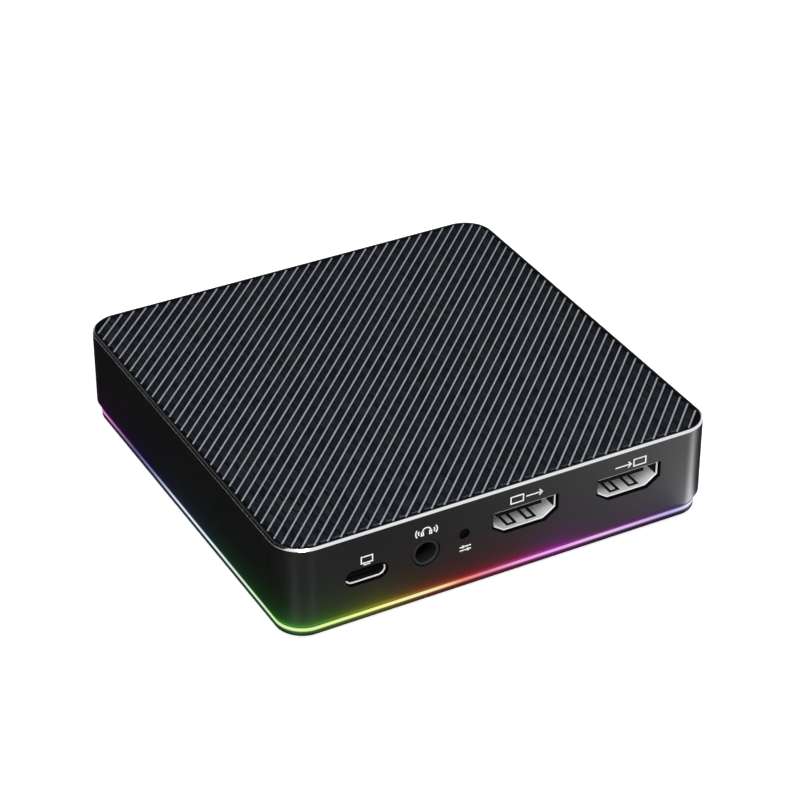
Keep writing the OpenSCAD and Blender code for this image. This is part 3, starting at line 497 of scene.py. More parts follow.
metalAlong = (1.0, 0.15, 1.0)
finishes = {
    "shell_black": satinBlack(),
    "panel_dark": panelBlack(),
    "ring_light": litRing(),
    "glue_sheet": moulded("glueSheet", (0.62, 0.60, 0.54), (0.74, 0.72, 0.66), 0.6, 1400, 0.02),
    "base_black": baseBlack(),
    "foot_rubber": moulded("footRubber", (0.014, 0.014, 0.015), (0.032, 0.032, 0.034), 0.8, 3200, 0.02,
                           specular=0.25),
    "screw_steel": sheetMetal("screwSteel", (0.56, 0.57, 0.59), (0.38, 0.39, 0.41), 0.28, (1.0, 1.0, 1.0)),
    "board_green": boardMask("boardGreen", (0.006, 0.070, 0.038), (0.05, 0.20, 0.10)),
    "light_board_white": boardMask("lightBoardWhite", (0.80, 0.80, 0.76), (0.66, 0.66, 0.60)),
    "lamp_white": moulded("lampWhite", (0.92, 0.88, 0.74), (0.98, 0.95, 0.86), 0.3, 1800, 0.01),
    "port_metal": sheetMetal("portMetal", (0.78, 0.78, 0.79), (0.58, 0.58, 0.60), 0.42, metalAlong, 0.35),
    "insulator_black": moulded("insulatorBlack", (0.0016, 0.0016, 0.0018), (0.004, 0.004, 0.0045), 0.6, 2600,
                               0.01, specular=0.06),
    "contact_gold": sheetMetal("contactGold", (0.86, 0.62, 0.24), (0.66, 0.45, 0.16), 0.2, metalAlong),
    "ferrule_black": moulded("ferruleBlack", (0.014, 0.014, 0.015), (0.034, 0.034, 0.036), 0.34, 3000, 0.008,
                             specular=0.4),
    "button_black": moulded("buttonBlack", (0.0012, 0.0012, 0.0014), (0.004, 0.004, 0.0045), 0.6, 3000, 0.008,
                            specular=0.05),
    "plunger_white": moulded("plungerWhite", (0.64, 0.64, 0.60), (0.76, 0.76, 0.72), 0.45, 2200, 0.01),
    "chip_black": moulded("chipBlack", (0.012, 0.012, 0.013), (0.034, 0.034, 0.036), 0.55, 3000, 0.015),
    "pad_grey": moulded("padGrey", (0.24, 0.31, 0.38), (0.34, 0.41, 0.48), 0.75, 1500, 0.03),
    "sink_grey": sheetMetal("sinkGrey", (0.060, 0.064, 0.070), (0.040, 0.042, 0.047), 0.42, (1.0, 0.1, 1.0)),
    "can_silver": sheetMetal("canSilver", (0.66, 0.67, 0.69), (0.48, 0.49, 0.51), 0.26, (0.2, 0.2, 2.0)),
    "coil_grey": moulded("coilGrey", (0.050, 0.050, 0.054), (0.090, 0.090, 0.096), 0.6, 2000, 0.02),
    "cap_tan": moulded("capTan", (0.32, 0.21, 0.10), (0.44, 0.31, 0.17), 0.4, 2400, 0.01),
}
rimMaterial = cutRim()
# painted shade: a near-black, dull finish for the walls of the port cut-outs
holeShadeMaterial = moulded("holeBlack", (0.0010, 0.0010, 0.0011), (0.0028, 0.0028, 0.0030), 0.7, 2600, 0.01,
                       specular=0.03)
threadMaterial = weaveThread()
ribMaterial = ribSilver()
edgeHighlightMaterial = hemGrey()
inkMaterial = inkWhite()

nodeSlots = {part["node"]: part["material_slot"] for part in frame["record"]["subparts"]}
for name, thing in frame["nodes"].items():
    finish = finishes[nodeSlots[name]]
    if not thing.material_slots:
        thing.data.materials.append(finish)
    for slot in thing.material_slots:
        slot.material = finish
print("finishes made:", len(bpy.data.materials))


# Meshes

def addPiece(name, mesh, body="case", stands=()):
    piece = bpy.data.objects.new(name, mesh)
    bpy.context.scene.collection.objects.link(piece)
    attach(piece, body)
    if stands:
        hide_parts(*stands)
    return piece


def meshFrom(bm, name, materials, smoothAngle=None):
    mesh = bpy.data.meshes.new(name)
    bm.to_mesh(mesh)
    bm.free()
    for material in materials:
        mesh.materials.append(material)
    if smoothAngle:
        mesh.shade_smooth()
        mesh.set_sharp_from_angle(angle=math.radians(smoothAngle))
    return mesh


def settled(mesh, change):      # the mesh after one modifier, as a plain mesh
    holder = bpy.data.objects.new(mesh.name + "Holder", mesh)
    bpy.context.scene.collection.objects.link(holder)
    change(holder)
    graph = bpy.context.evaluated_depsgraph_get()
    result = bpy.data.meshes.new_from_object(holder.evaluated_get(graph), depsgraph=graph)
    result.name = mesh.name + "Final"
    holder.modifiers.clear()
    bpy.data.objects.remove(holder)
    return result


def weightNormals(holder):
    change = holder.modifiers.new("evenNormals", "WEIGHTED_NORMAL")
    change.keep_sharp = True


outline = {"half": cadHigh.x, "cornerRadius": 7 * mm}    # the case in plan


def insetAt(x, y):      # how far a point lies inside the case's outline
    core = outline["half"] - outline["cornerRadius"]
    dx = abs(x) - core
    dy = abs(y) - core
    outside = math.hypot(max(dx, 0.0), max(dy, 0.0)) + min(max(dx, dy), 0.0)
    return outline["cornerRadius"] - outside


def roundLoop(inset, z, steps=12):      # the case's outline drawn further in, at a height
    radius = outline["cornerRadius"] - inset
    core = outline["half"] - outline["cornerRadius"]
    points = []
    for quarter, (sx, sy) in enumerate([(1, 1), (-1, 1), (-1, -1), (1, -1)]):
        for step in range(steps + 1):
            angle = math.pi / 2 * (quarter + step / steps)
            x = sx * core + radius * math.cos(angle)
            y = sy * core + radius * math.sin(angle)
            points.append(Vector((x, y, z)))
    return points


def loft(loops):        # a closed solid through loops of equal count, from the lowest to the highest
    bm = bmesh.new()
    rows = [[bm.verts.new(point) for point in loop] for loop in loops]
    for low, high in zip(rows, rows[1:]):
        for k in range(len(low)):
            n = (k + 1) % len(low)
            bm.faces.new((low[k], low[n], high[n], high[k]))
    bm.faces.new(list(reversed(rows[0])))
    bm.faces.new(rows[-1])
    return bm


# Case shell and base: softened edges, a bright cut bevel and a sloped lower edge

caseShell = {"edgeRound": 0.08 * mm, "segments": 2, "crownRound": 0.16 * mm, "crownSegments": 4,
             "rimLow": 22.4 * mm, "rimInset": 0.6 * mm, "bevelFlat": 0.95, "bevelSteep": 0.4,
             "lipHigh": 4.0 * mm, "lipInset": 0.1 * mm, "slopeIn": 0.8 * mm, "slopeTop": 5.1 * mm,
             "holesLow": 9.5 * mm, "holesHigh": 18.5 * mm, "holesHalf": 42 * mm, "holesDeep": 2.1 * mm,
             "holesFacing": 0.3, "sharpAngle": 30}
nearly = 0.001 * mm


def outwardAt(x, y):        # the way straight out of the case's outline
    core = outline["half"] - outline["cornerRadius"]
    aside = math.copysign(max(abs(x) - core, 0.0), x)
    ahead = math.copysign(max(abs(y) - core, 0.0), y)
    return Vector((aside, ahead, 0.0)).normalized()


def mergedCopy(node):
    bm = bmesh.new()
    bm.from_mesh(frame["nodes"][node].data)
    bmesh.ops.remove_doubles(bm, verts=bm.verts, dist=0.0005 * mm)
    bmesh.ops.dissolve_limit(bm, angle_limit=math.radians(0.5), verts=bm.verts, edges=bm.edges)
    return bm


def creases(bm, chosen, angle=30):
    found = []
    for edge in bm.edges:
        if len(edge.link_faces) == 2 and edge.calc_face_angle() > math.radians(angle):
            if all(chosen(vert.co) for vert in edge.verts):
                found.append(edge)
    return found


def slopeUnder(bm, size):       # draws the lower edge in, under a slope that starts higher up
    for vert in bm.verts:
        inset = insetAt(vert.co.x, vert.co.y)
        if vert.co.z < size["lipHigh"] and inset < size["slopeIn"]:
            if inset > size["lipInset"]:
                vert.co -= outwardAt(vert.co.x, vert.co.y) * (size["slopeIn"] - inset)
            else:
                vert.co.z = size["slopeTop"]


def makeShell(size):
    bm = mergedCopy("body_shell")
    slopeUnder(bm, size)
    front = cadLow.y + nearly

    def crowns(point):
        return point.z > cadHigh.z - nearly and insetAt(point.x, point.y) < size["rimInset"]

    def shows(point):
        outer = insetAt(point.x, point.y) < 2 * size["rimInset"]
        return point.y < front or (outer and (point.z > size["rimLow"] or point.z < size["lipHigh"]))

    bmesh.ops.bevel(bm, geom=creases(bm, crowns), offset=size["crownRound"], segments=size["crownSegments"],
                    profile=0.5, affect="EDGES", clamp_overlap=True)
    bmesh.ops.bevel(bm, geom=creases(bm, shows), offset=size["edgeRound"], segments=size["segments"],
                    profile=0.5, affect="EDGES", clamp_overlap=True)
    bm.normal_update()
    for face in bm.faces:
        middle = face.calc_center_median()
        slanted = size["bevelSteep"] < face.normal.z < size["bevelFlat"]
        if slanted and middle.z > size["rimLow"] and insetAt(middle.x, middle.y) < size["rimInset"]:
            face.material_index = 1
        # painted shade: faces of the port cut-outs' walls take the near-black hole finish
        inWall = middle.y < cadLow.y + size["holesDeep"] and abs(face.normal.y) < size["holesFacing"]
        if inWall and abs(middle.x) < size["holesHalf"] and size["holesLow"] < middle.z < size["holesHigh"]:
            face.material_index = 2
    materials = [finishes["shell_black"], rimMaterial, holeShadeMaterial]
    mesh = meshFrom(bm, "caseShell", materials, size["sharpAngle"])
    return addPiece("case_shell", settled(mesh, weightNormals), stands=["body_shell"])


baseEdge = {"split": 1.35 * mm, "inset": 0.95 * mm, "outer": 1.4 * mm, "sharpAngle": 30}


def makeBase(size):     # the base's edge stands upright above a low taper
    bm = mergedCopy("base_plate")
    bmesh.ops.bisect_plane(bm, geom=bm.verts[:] + bm.edges[:] + bm.faces[:],
                           plane_co=(0.0, 0.0, size["split"]), plane_no=(0.0, 0.0, 1.0))
    for vert in bm.verts:
        inset = insetAt(vert.co.x, vert.co.y)
        if abs(vert.co.z - size["split"]) < nearly and inset < size["outer"]:
            vert.co += outwardAt(vert.co.x, vert.co.y) * (inset - size["inset"])
    mesh = meshFrom(bm, "baseEdge", [finishes["base_black"]], size["sharpAngle"])
    return addPiece("base_edge", settled(mesh, weightNormals), stands=["base_plate"])


makeShell(caseShell)
makeBase(baseEdge)
print("shell and base dressed")


# Top panel: a sheet with a raised field, woven threads on it and silver ribs over them

panelSheet = {"edge": 1.0 * mm, "under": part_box("top_panel")[0].z, "border": 22.70 * mm,
              "edgeBevel": 0.1 * mm, "field": 1.15 * mm, "fieldTop": 22.76 * mm, "fieldBevel": 0.06 * mm,
              "sharpAngle": 30}


def makePanel(size):
    bm = loft([
        roundLoop(size["edge"], size["under"]),
        roundLoop(size["edge"], size["border"] - size["edgeBevel"]),
        roundLoop(size["edge"] + size["edgeBevel"], size["border"]),
        roundLoop(size["field"], size["border"]),
        roundLoop(size["field"] + size["fieldBevel"], size["fieldTop"]),
    ])
    mesh = meshFrom(bm, "panelSheet", [finishes["panel_dark"]], size["sharpAngle"])
    return addPiece("panel_sheet", mesh, stands=["top_panel"])


class Recipe(NodeMaker):    # a geometry tree with named inputs, run once into a plain mesh
    kinds = {"float": "NodeSocketFloat", "int": "NodeSocketInt", "material": "NodeSocketMaterial"}

    def __init__(self, name, inputs):
        super().__init__(bpy.data.node_groups.new(name, "GeometryNodeTree"))
        self.values = {}
        for label, (kind, value) in inputs.items():
            socket = self.tree.interface.new_socket(label, in_out="INPUT", socket_type=self.kinds[kind])
            self.values[socket.identifier] = value
        self.tree.interface.new_socket("Geometry", in_out="OUTPUT", socket_type="NodeSocketGeometry")
        self.inputs = self.tree.nodes.new("NodeGroupInput")
        self.output = self.tree.nodes.new("NodeGroupOutput")

    def ask(self, label):
        return Wire(self, self.inputs.outputs[label])

    def line(self, start, end):
        return self.add("GeometryNodeCurvePrimitiveLine", None, {"Start": start, "End": end})

    def upright(self, instances):       # the instances as real curves, with their normals up
        curves = self.add("GeometryNodeRealizeInstances", None, {0: instances})
        return self.add("GeometryNodeSetCurveNormal", {"mode": "Z_UP"}, {"Curve": curves})

    def trapezoid(self):
        return self.add("GeometryNodeCurvePrimitiveQuadrilateral", {"mode": "TRAPEZOID"}, {
            "Bottom Width": self.ask("Foot width"), "Top Width": self.ask("Crown width"), "Offset": 0.0,
            "Height": self.ask("Height")})

    def rounded(self, profile):
        return self.add("GeometryNodeFilletCurve", {"mode": "POLY"}, {
            "Curve": profile, "Count": 2, "Radius": self.ask("Rounding"), "Limit Radius": True})

    def sweep(self, curves, profile):
        return self.add("GeometryNodeCurveToMesh", None, {
            "Curve": curves, "Profile Curve": profile, "Fill Caps": True})

    def finish(self, geometry):
        whole = self.add("GeometryNodeRealizeInstances", None, {0: geometry})
        painted = self.add("GeometryNodeSetMaterial", None, {
            "Geometry": whole, "Material": self.ask("Finish")})
        self.plug(self.output.inputs[0], painted)

    def run(self):
        def setUp(holder):
            change = holder.modifiers.new("recipe", "NODES")
            change.node_group = self.tree
            for identifier, value in self.values.items():
                change[identifier] = value

        return settled(bpy.data.meshes.new(self.tree.name), setUp)


def pick(condition, yes, no):
    return condition * yes + (1 - condition) * no


ribField = {"pitch": 2.05 * mm, "count": 32, "inset": 1.15 * mm, "angle": 45, "ground": 22.755 * mm,
            "footWidth": 0.44 * mm, "crownWidth": 0.24 * mm, "height": 0.19 * mm, "round": 0.05 * mm}


def makeRibs(size):
    recipe = Recipe("ribField", {
        "Pitch": ("float", size["pitch"]),
        "Count": ("int", size["count"]),
        "Field half": ("float", outline["half"] - size["inset"]),
        "Corner radius": ("float", outline["cornerRadius"] - size["inset"]),
        "Foot width": ("float", size["footWidth"]),
        "Crown width": ("float", size["crownWidth"]),
        "Height": ("float", size["height"]),
        "Rounding": ("float", size["round"]),
        "Ground": ("float", size["ground"]),
        "Angle": ("float", math.radians(size["angle"])),
        "Finish": ("material", ribMaterial),
    })
    pitch = recipe.ask("Pitch")
    count = recipe.ask("Count")
    half = recipe.ask("Field half")
    radius = recipe.ask("Corner radius")
    points = recipe.add("GeometryNodeMeshLine", None, {
        "Count": count * 2 + 1, "Start Location": recipe.join(0.0, 0.0 - count * pitch, 0.0),
        "Offset": recipe.join(0.0, pitch, 0.0)})
    across = abs(recipe.split(recipe.add("GeometryNodeInputPosition"))[1])
    core = (half - radius) * math.sqrt(2)
    turnIn = radius / math.sqrt(2)
    straight = half * math.sqrt(2) - across
    pointed = core + recipe.math("SQRT", recipe.math("MAXIMUM", radius * radius - across * across, 0.0))
    overrun = across - core
    short = recipe.math("SQRT", recipe.math("MAXIMUM", radius * radius - overrun * overrun, 0.0))
    reach = pick(across < turnIn, pointed, pick(overrun > turnIn, short, straight))
    lines = recipe.add("GeometryNodeInstanceOnPoints", None, {
        "Points": points, "Instance": recipe.line((-1.0, 0.0, 0.0), (1.0, 0.0, 0.0)),
        "Scale": recipe.join(reach, 1.0, 1.0)})
    bars = recipe.sweep(recipe.upright(lines), recipe.rounded(recipe.trapezoid()))
    laid = recipe.add("GeometryNodeTransform", None, {
        "Geometry": bars, "Rotation": recipe.join(0.0, 0.0, recipe.ask("Angle")),
        "Translation": recipe.join(0.0, 0.0, recipe.ask("Ground") + recipe.ask("Height") / 2)})
    recipe.finish(laid)
    return addPiece("panel_ribs", recipe.run())


threadField = {"pitch": 0.55 * mm, "bands": 32, "inset": 1.35 * mm, "length": 2.5 * mm,
               "footWidth": 0.50 * mm, "crownWidth": 0.20 * mm, "height": 0.11 * mm, "drop": 0.05 * mm,
               "taper": 0.4, "ground": 22.735 * mm, "seed": 7}


def makeThreads(size):
    recipe = Recipe("threadField", {
        "Pitch": ("float", size["pitch"]),
        "Band pitch": ("float", ribField["pitch"]),
        "Bands": ("int", size["bands"]),
        "Field half": ("float", outline["half"] - size["inset"]),
        "Corner radius": ("float", outline["cornerRadius"] - size["inset"]),
        "Length": ("float", size["length"]),
        "Foot width": ("float", size["footWidth"]),
        "Crown width": ("float", size["crownWidth"]),
        "Height": ("float", size["height"]),
        "Drop": ("float", size["drop"]),
        "Taper": ("float", size["taper"]),
        "Ground": ("float", size["ground"]),
        "Seed": ("int", size["seed"]),
        "Finish": ("material", threadMaterial),
    })
    half = recipe.ask("Field half")
    radius = recipe.ask("Corner radius")
    rise = recipe.ask("Band pitch") * math.sqrt(2)
    columns = recipe.math("FLOOR", half * 2 / recipe.ask("Pitch"))
    rows = recipe.ask("Bands") * 2
    grid = recipe.add("GeometryNodeMeshGrid", None, {
        "Size X": (columns - 1) * recipe.ask("Pitch"), "Size Y": (rows - 1) * rise,
        "Vertices X": columns, "Vertices Y": rows})
    x, y, z = recipe.split(recipe.add("GeometryNodeInputPosition"))
    sheared = recipe.add("GeometryNodeSetPosition", None, {
        "Geometry": grid, "Position": recipe.join(x, x + y, 0.0)})
    core = half - radius
    sideways = recipe.math("MAXIMUM", abs(x) - core, 0.0)
    limit = core + recipe.math("SQRT", recipe.math("MAXIMUM", radius * radius - sideways * sideways, 0.0))
    low = recipe.math("MAXIMUM", y - recipe.ask("Length") / 2, 0.0 - limit)
    high = recipe.math("MINIMUM", y + recipe.ask("Length") / 2, limit)
    kept = recipe.add("GeometryNodeDeleteGeometry", {"domain": "POINT"}, {
        "Geometry": sheared, "Selection": high - low < recipe.ask("Pitch")})
    sized = recipe.add("GeometryNodeStoreNamedAttribute", {"data_type": "FLOAT", "domain": "POINT"}, {
        "Geometry": kept, "Name": "reach", "Value": (high - low) / 2})
    placed = recipe.add("GeometryNodeSetPosition", None, {
        "Geometry": sized, "Position": recipe.join(x, (high + low) / 2, recipe.ask("Ground"))})
    reach = recipe.add("GeometryNodeInputNamedAttribute", {"data_type": "FLOAT"}, {"Name": "reach"})
    parts = recipe.add("GeometryNodeResampleCurve", None, {
        "Curve": recipe.line((0.0, -1.0, 0.0), (0.0, 1.0, 0.0)), "Count": 4})
    bowed = recipe.add("GeometryNodeSetPosition", None, {
        "Geometry": parts, "Position": recipe.join(0.0, y, 0.0 - y * y * recipe.ask("Drop"))})
    floats = recipe.add("GeometryNodeInstanceOnPoints", None, {
        "Points": placed, "Instance": bowed, "Scale": recipe.join(1.0, reach, 1.0)})
    chance = recipe.add("FunctionNodeRandomValue", {"data_type": "FLOAT"}, {"Seed": recipe.ask("Seed")}, 1)
    tinted = recipe.add("GeometryNodeStoreNamedAttribute", {"data_type": "FLOAT", "domain": "INSTANCE"}, {
        "Geometry": floats, "Name": "tint", "Value": chance})
    along = recipe.add("GeometryNodeSplineParameter") * 2 - 1
    tapered = recipe.add("GeometryNodeSetCurveRadius", None, {
        "Curve": recipe.upright(tinted), "Radius": 1 - recipe.ask("Taper") * along * along})
    recipe.finish(recipe.sweep(tapered, recipe.trapezoid()))
    mesh = recipe.run()
    mesh.shade_smooth()
    return addPiece("panel_threads", mesh)


hemField = {"row": 1.7 * mm, "count": 30, "length": 1.6 * mm, "gap": 0.15 * mm, "width": 0.36 * mm,
            "height": 0.13 * mm, "ground": 22.72 * mm, "round": 0.05 * mm}


def makeEdgeHighlights(size):      # painted highlight: short grey bars along the front edge, each beside the end of a rib, standing in for light caught on that edge
    recipe = Recipe("hemField", {
        "Spacing": ("float", ribField["pitch"] * math.sqrt(2)),
        "Count": ("int", size["count"]),
        "Row": ("float", cadLow.y + size["row"]),
        "Length": ("float", size["length"]),
        "Gap": ("float", size["gap"]),
        "Width": ("float", size["width"]),
        "Height": ("float", size["height"]),
        "Ground": ("float", size["ground"]),
        "Rounding": ("float", size["round"]),
        "Finish": ("material", edgeHighlightMaterial),
    })
    spacing = recipe.ask("Spacing")
    row = recipe.ask("Row")
    gap = recipe.ask("Gap")
    first = row + recipe.math("CEIL", 0.0 - recipe.ask("Count") / 2 - row / spacing) * spacing
    points = recipe.add("GeometryNodeMeshLine", None, {
        "Count": recipe.ask("Count"), "Start Location": recipe.join(first, row, recipe.ask("Ground")),
        "Offset": recipe.join(spacing, 0.0, 0.0)})
    far = recipe.join(0.0 - gap - recipe.ask("Length"), 0.0, 0.0)
    near = recipe.join(0.0 - gap, 0.0, 0.0)
    highlightBars = recipe.add("GeometryNodeInstanceOnPoints", None, {
        "Points": points, "Instance": recipe.line(far, near)})
    profile = recipe.add("GeometryNodeCurvePrimitiveQuadrilateral", {"mode": "RECTANGLE"}, {
        "Width": recipe.ask("Width"), "Height": recipe.ask("Height")})
    recipe.finish(recipe.sweep(recipe.upright(highlightBars), recipe.rounded(profile)))
    return addPiece("panel_edge_highlights", recipe.run())


makePanel(panelSheet)
makeRibs(ribField)
makeThreads(threadField)
makeEdgeHighlights(hemField)
print("panel dressed")


# Marks on the front: simple signs in white ink, a little proud of the face

frontMarks = {"stroke": 0.27 * mm, "proud": 0.02 * mm, "sunk": 0.05 * mm,
              "host": (-32.1, 16.25), "audio": (-18.7, 18.7), "mix": (-9.75, 11.5),
              "videoOut": (4.45, 19.5), "videoIn": (29.2, 19.3)}


def arc(x, z, radius, start, end, steps=10):
    angles = [math.radians(start + (end - start) * k / steps) for k in range(steps + 1)]
    return [(x + radius * math.cos(angle), z + radius * math.sin(angle)) for angle in angles]


def screenSign(x, z, width, height):
    return [(x - width / 2, z - height / 2), (x + width / 2, z - height / 2),
            (x + width / 2, z + height / 2), (x - width / 2, z + height / 2)]


def arrowSign(x, z, length, head):      # points along +X
    return [[(x - length / 2, z), (x + length / 2 - 0.1, z)],
            [(x + length / 2 - head, z + head), (x + length / 2, z), (x + length / 2 - head, z - head)]]


signs = {       # closed outlines and open strokes, millimetres about the mark's middle
    "host": {"closed": [screenSign(0, 0.25, 2.5, 1.5)],
             "open": [[(0, -0.5), (0, -0.95)], [(-0.75, -0.95), (0.75, -0.95)]]},
    "audio": {"closed": [screenSign(-0.95, -0.45, 0.42, 0.75), screenSign(0.95, -0.45, 0.42, 0.75)],
              "open": [arc(0, -0.1, 0.98, 0, 180),
                       arc(1.1, -0.1, 0.75, -40, 40, 6), arc(-1.1, -0.1, 0.75, 140, 220, 6),
                       arc(1.1, -0.1, 1.35, -40, 40, 8), arc(-1.1, -0.1, 1.35, 140, 220, 8)]},
    "mix": {"closed": [screenSign(-0.55, 0.42, 0.36, 0.36), screenSign(0.55, -0.42, 0.36, 0.36)],
            "open": [[(-1.3, 0.42), (-0.72, 0.42)], [(-0.38, 0.42), (1.3, 0.42)],
                     [(-1.3, -0.42), (0.38, -0.42)], [(0.72, -0.42), (1.3, -0.42)]]},
    "videoOut": {"closed": [screenSign(-2.3, 0, 2.9, 1.6)], "open": arrowSign(1.7, 0, 3.8, 0.7)},
    "videoIn": {"closed": [screenSign(2.2, 0, 2.9, 1.6)], "open": arrowSign(-1.8, 0, 3.8, 0.7)},
}


def addStroke(bm, points, width, closed, front, back):
    count = len(points)
    rings = []
    for k, point in enumerate(points):
        before = points[k - 1] if closed or k else point
        after = points[(k + 1) % count] if closed or k < count - 1 else point
        ways = [(b - a).normalized() for a, b in ((before, point), (point, after)) if (b - a).length > 0]
        way = sum(ways, Vector((0.0, 0.0))).normalized()
        side = Vector((-way.y, way.x)) * (width / 2 / max(0.4, way.dot(ways[0])))
        left, right = point + side, point - side
        rings.append([bm.verts.new((p.x, depth, p.y)) for p, depth in
                      ((left, front), (right, front), (right, back), (left, back))])
    spans = list(zip(rings, rings[1:])) + ([(rings[-1], rings[0])] if closed else [])
    for first, second in spans:
        for k in range(4):
            n = (k + 1) % 4
            bm.faces.new((first[k], first[n], second[n], second[k]))
    if not closed:
        bm.faces.new(list(reversed(rings[0])))
        bm.faces.new(rings[-1])


def makeMarks(setup):
    bm = bmesh.new()
    front = cadLow.y - setup["proud"]
    back = cadLow.y + setup["sunk"]
    for name, sign in signs.items():
        centre = Vector(setup[name])
        for closed, group in ((True, sign["closed"]), (False, sign["open"])):
            for points in group:
                path = [(centre + Vector(point)) * mm for point in points]
                addStroke(bm, path, setup["stroke"], closed, front, back)
    bmesh.ops.recalc_face_normals(bm, faces=bm.faces)
    return addPiece("front_marks", meshFrom(bm, "frontMarks", [inkMaterial]))


makeMarks(frontMarks)
print("marks drawn")


# Feet: turned rubber with grip grooves in the sole

footTurned = {"radius": 5.0, "edge": 0.4, "edgeSteps": 4, "grooves": [1.7, 3.5], "grooveWidth": 0.5,
              "grooveDepth": 0.14, "grooveSlope": 0.08, "around": 48, "sharpAngle": 35}


def turned(profile, centre, around):    # a closed solid of revolution from (radius, height) points
    bm = bmesh.new()
    angles = [2 * math.pi * k / around for k in range(around)]
    rows = []
    for radius, height in profile:
        middle = Vector((centre.x, centre.y, height * mm))
        ways = [Vector((math.cos(angle), math.sin(angle), 0.0)) for angle in angles] if radius else [Vector()]
        rows.append([bm.verts.new(middle + way * radius * mm) for way in ways])
    for low, high in zip(rows, rows[1:]):
        for k in range(around):
            n = (k + 1) % around
            corners = [low[k % len(low)], low[n % len(low)], high[n % len(high)], high[k % len(high)]]
            bm.faces.new(list(dict.fromkeys(corners)))
    return bm


def footProfile(size, top):
    points = [(0, 0)]
    deep, slope = size["grooveDepth"], size["grooveSlope"]
    for groove in size["grooves"]:
        inner, outer = groove - size["grooveWidth"] / 2, groove + size["grooveWidth"] / 2
        points += [(inner, 0), (inner + slope, deep), (outer - slope, deep), (outer, 0)]
    for step in range(size["edgeSteps"] + 1):
        angle = math.pi / 2 * step / size["edgeSteps"]
        radius = size["radius"] - size["edge"] * (1 - math.sin(angle))
        points.append((radius, size["edge"] * (1 - math.cos(angle))))
    return points + [(size["radius"], top / mm), (0, top / mm)]


def makeFoot(size, node):
    low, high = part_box(node)
    bm = turned(footProfile(size, high.z), (low + high) / 2, size["around"])
    mesh = meshFrom(bm, node, [finishes["foot_rubber"]], size["sharpAngle"])
    return addPiece(node + "_turned", mesh, stands=[node])


for footNode in ("foot_front_left", "foot_front_right", "foot_rear_left", "foot_rear_right"):
    makeFoot(footTurned, footNode)
print("feet turned")


# Sockets and the push button: the solids' own forms with rolled and rounded lips

softLips = {
    "video_out_shell": {"round": 0.10 * mm, "depth": 0.4 * mm, "slot": "port_metal", "body": "case",
                        "finish": portMetal("videoOutMetal", videoShade(4.25))},
    "video_in_shell": {"round": 0.10 * mm, "depth": 0.4 * mm, "slot": "port_metal", "body": "case",
                       "finish": portMetal("videoInMetal", videoShade(28.9))},
    "host_port_shell": {"round": 0.08 * mm, "depth": 0.4 * mm, "slot": "port_metal", "body": "case",
                        "finish": portMetal("hostMetal", hostShade)},
    "jack_ferrule": {"round": 0.15 * mm, "depth": 0.6 * mm, "slot": "ferrule_black", "body": "case",
                     "finish": ferruleRing()},
    "mix_button": {"round": 0.15 * mm, "depth": 0.4 * mm, "slot": "button_black", "body": "mix_key",
                   "finish": finishes["button_black"]},
}


lipShape = {"segments": 3, "sharpAngle": 32}


def makeLip(node, size):
    bm = mergedCopy(node)
    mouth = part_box(node)[0].y + size["depth"]
    bmesh.ops.bevel(bm, geom=creases(bm, lambda point: point.y < mouth), offset=size["round"],
                    segments=lipShape["segments"], profile=0.5, affect="EDGES", clamp_overlap=True)
    mesh = meshFrom(bm, node, [size["finish"]], lipShape["sharpAngle"])
    return addPiece(node + "_soft", settled(mesh, weightNormals), size["body"], [node])


for lipNode, lipSize in softLips.items():
    makeLip(lipNode, lipSize)
print("lips softened")


# Stage and light

stage = {"floorHalf": 3.0, "floorColour": (0.86, 0.86, 0.86), "floorGlow": 0.72, "skyFill": 0.35}


def seenRays(maker):    # camera, glossy and transmission rays see the white backdrop
    path = maker.tree.nodes.new("ShaderNodeLightPath")
    kinds = ("Is Camera Ray", "Is Glossy Ray", "Is Transmission Ray")
    rays = [Wire(maker, path.outputs[kind]) for kind in kinds]
    return maker.clip(rays[0] + rays[1] + rays[2])


def squareAt(side, height):
    return [(-side, -side, height), (side, -side, height), (side, side, height), (-side, side, height)]


def sheet(name, corners, material):     # one flat face of the stage
    mesh = bpy.data.meshes.new(name)
    mesh.from_pydata(corners, [], [(0, 1, 2, 3)])
    mesh.materials.append(material)
    piece = bpy.data.objects.new(name, mesh)
    bpy.context.scene.collection.objects.link(piece)
    return piece


def makeStage(setup):
    look = Look("floorPale", colour=setup["floorColour"], roughness=0.9, specular=0.0,
                glowStrength=setup["floorGlow"])
    look.set("glow", look.blend(seenRays(look), (0.0, 0.0, 0.0), (1.0, 1.0, 1.0)))
    sheet("floor", squareAt(setup["floorHalf"], 0.0), look.material)

    world = bpy.data.worlds.new("studio")
    world.use_nodes = True
    bpy.context.scene.world = world
    sky = NodeMaker(world.node_tree)
    world.node_tree.nodes.clear()
    seen = seenRays(sky)
    light = sky.add("ShaderNodeBackground", None, {"Color": (1.0, 1.0, 1.0),
                                                   "Strength": seen + (1 - seen) * setup["skyFill"]})
    output = world.node_tree.nodes.new("ShaderNodeOutputWorld")
    sky.plug(output.inputs["Surface"], light)


lamps = {
    "key": {"place": (-0.20, -0.46, 0.76), "aim": (0.0, 0.0, 0.01), "size": (0.36, 0.36), "power": 5.2},
    "front": {"place": (-0.30, -0.62, 0.26), "aim": (0.0, -0.05, 0.014), "size": (0.24, 0.24), "power": 1.8},
}


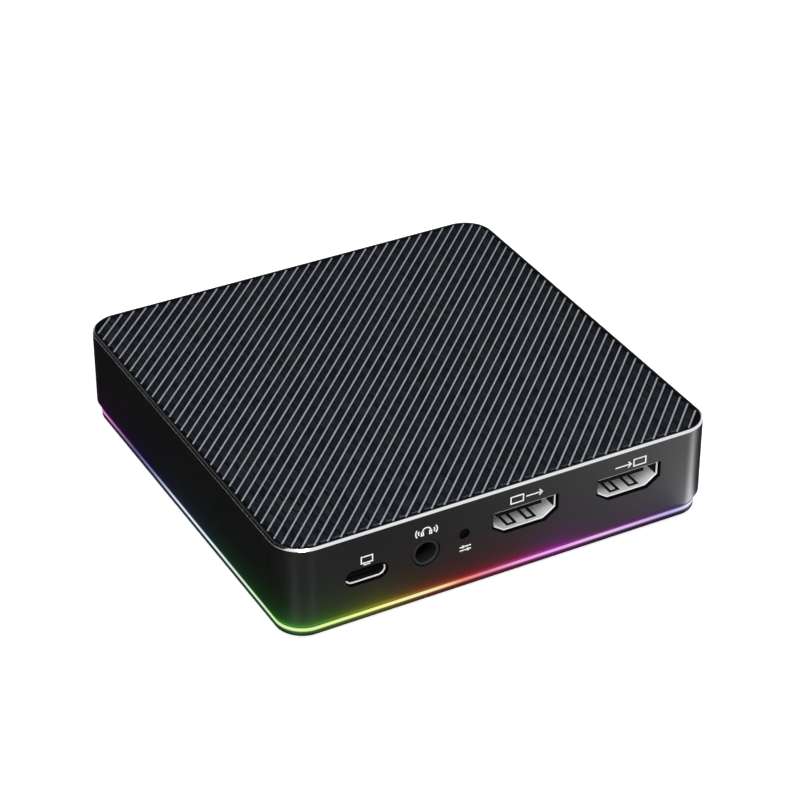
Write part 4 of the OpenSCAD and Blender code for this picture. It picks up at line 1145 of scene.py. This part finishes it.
# cards that only reflections see, as in a product studio
floorCard = {"half": 0.16, "level": 0.0004, "fade": (-0.0485, -0.0585), "dark": 0.015, "left": 0.2,
             "right": 1.5, "along": (-0.040, 0.075), "stripRise": 0.004}
cornerStrips = [    # soft bright strips beside the front corners: start, direction, width, strength
    {"start": (0.0452, -0.0497), "way": (0.88, -0.48), "width": 0.0028, "strength": 9.0},
    {"start": (-0.0475, -0.0484), "way": (-0.78, -0.63), "width": 0.0030, "strength": 0.5},
    {"start": (-0.0442, -0.0499), "way": (0.16, -0.99), "width": 0.0030, "strength": 0.4},
]
rearCard = {"half": 0.9, "far": 0.5, "near": -0.12, "dark": 0.012, "grey": 0.13, "greyAt": -0.11,
            "greyWidth": 0.09}


def glowing(name):
    return Look(name, colour=(0.0, 0.0, 0.0), specular=0.0, roughness=1.0, glowStrength=1.0)


def bell(look, item):       # 1 at 0, dying away on both sides
    return look.math("EXPONENT", 0.0 - item * item)


def reflectedOnly(name, corners, material):
    card = sheet(name, corners, material)
    card.visible_camera = False
    card.visible_diffuse = False
    card.visible_transmission = False
    card.visible_shadow = False


def makeFloorCard(setup, strips):
    look = glowing("floorCard")
    x, y, z = look.split(look.place)
    along = look.fade(x, *setup["along"])
    ahead = look.fade(y, *setup["fade"])
    bright = setup["dark"] + ahead * (setup["left"] + along ** 2.0 * (setup["right"] - setup["left"]))
    for strip in strips:
        dx = x - strip["start"][0]
        dy = y - strip["start"][1]
        ahead = look.fade(dx * strip["way"][0] + dy * strip["way"][1], 0.0, setup["stripRise"])
        aside = (dx * strip["way"][1] - dy * strip["way"][0]) / strip["width"]
        bright = bright + strip["strength"] * ahead * bell(look, aside)
    look.set("glow", look.join(bright, bright, bright * 1.02))
    reflectedOnly("floorCard", squareAt(setup["half"], setup["level"]), look.material)


def makeRearCard(setup):
    look = glowing("rearCard")
    aside = (look.split(look.place)[0] - setup["greyAt"]) / setup["greyWidth"]
    bright = setup["dark"] + setup["grey"] * bell(look, aside)
    look.set("glow", look.join(bright, bright, bright))
    side, far, near = setup["half"], setup["far"], setup["near"]
    reflectedOnly("rearCard", [(-side, far, 0.0), (side, far, 0.0), (side, near, far - near),
                               (-side, near, far - near)], look.material)


def makeLamp(name, setup):
    data = bpy.data.lights.new(name, "AREA")
    data.shape = "RECTANGLE"
    data.size, data.size_y = setup["size"]
    data.energy = setup["power"]
    lamp = bpy.data.objects.new(name, data)
    place = Vector(setup["place"])
    lamp.location = place
    lamp.rotation_euler = (Vector(setup["aim"]) - place).to_track_quat("-Z", "Y").to_euler()
    lamp.visible_camera = False
    bpy.context.scene.collection.objects.link(lamp)


makeStage(stage)
makeFloorCard(floorCard, cornerStrips)
makeRearCard(rearCard)
for lampName, lampSetup in lamps.items():
    makeLamp(lampName, lampSetup)
bpy.context.scene.view_settings.view_transform = "Standard"
print("stage and lamps set")
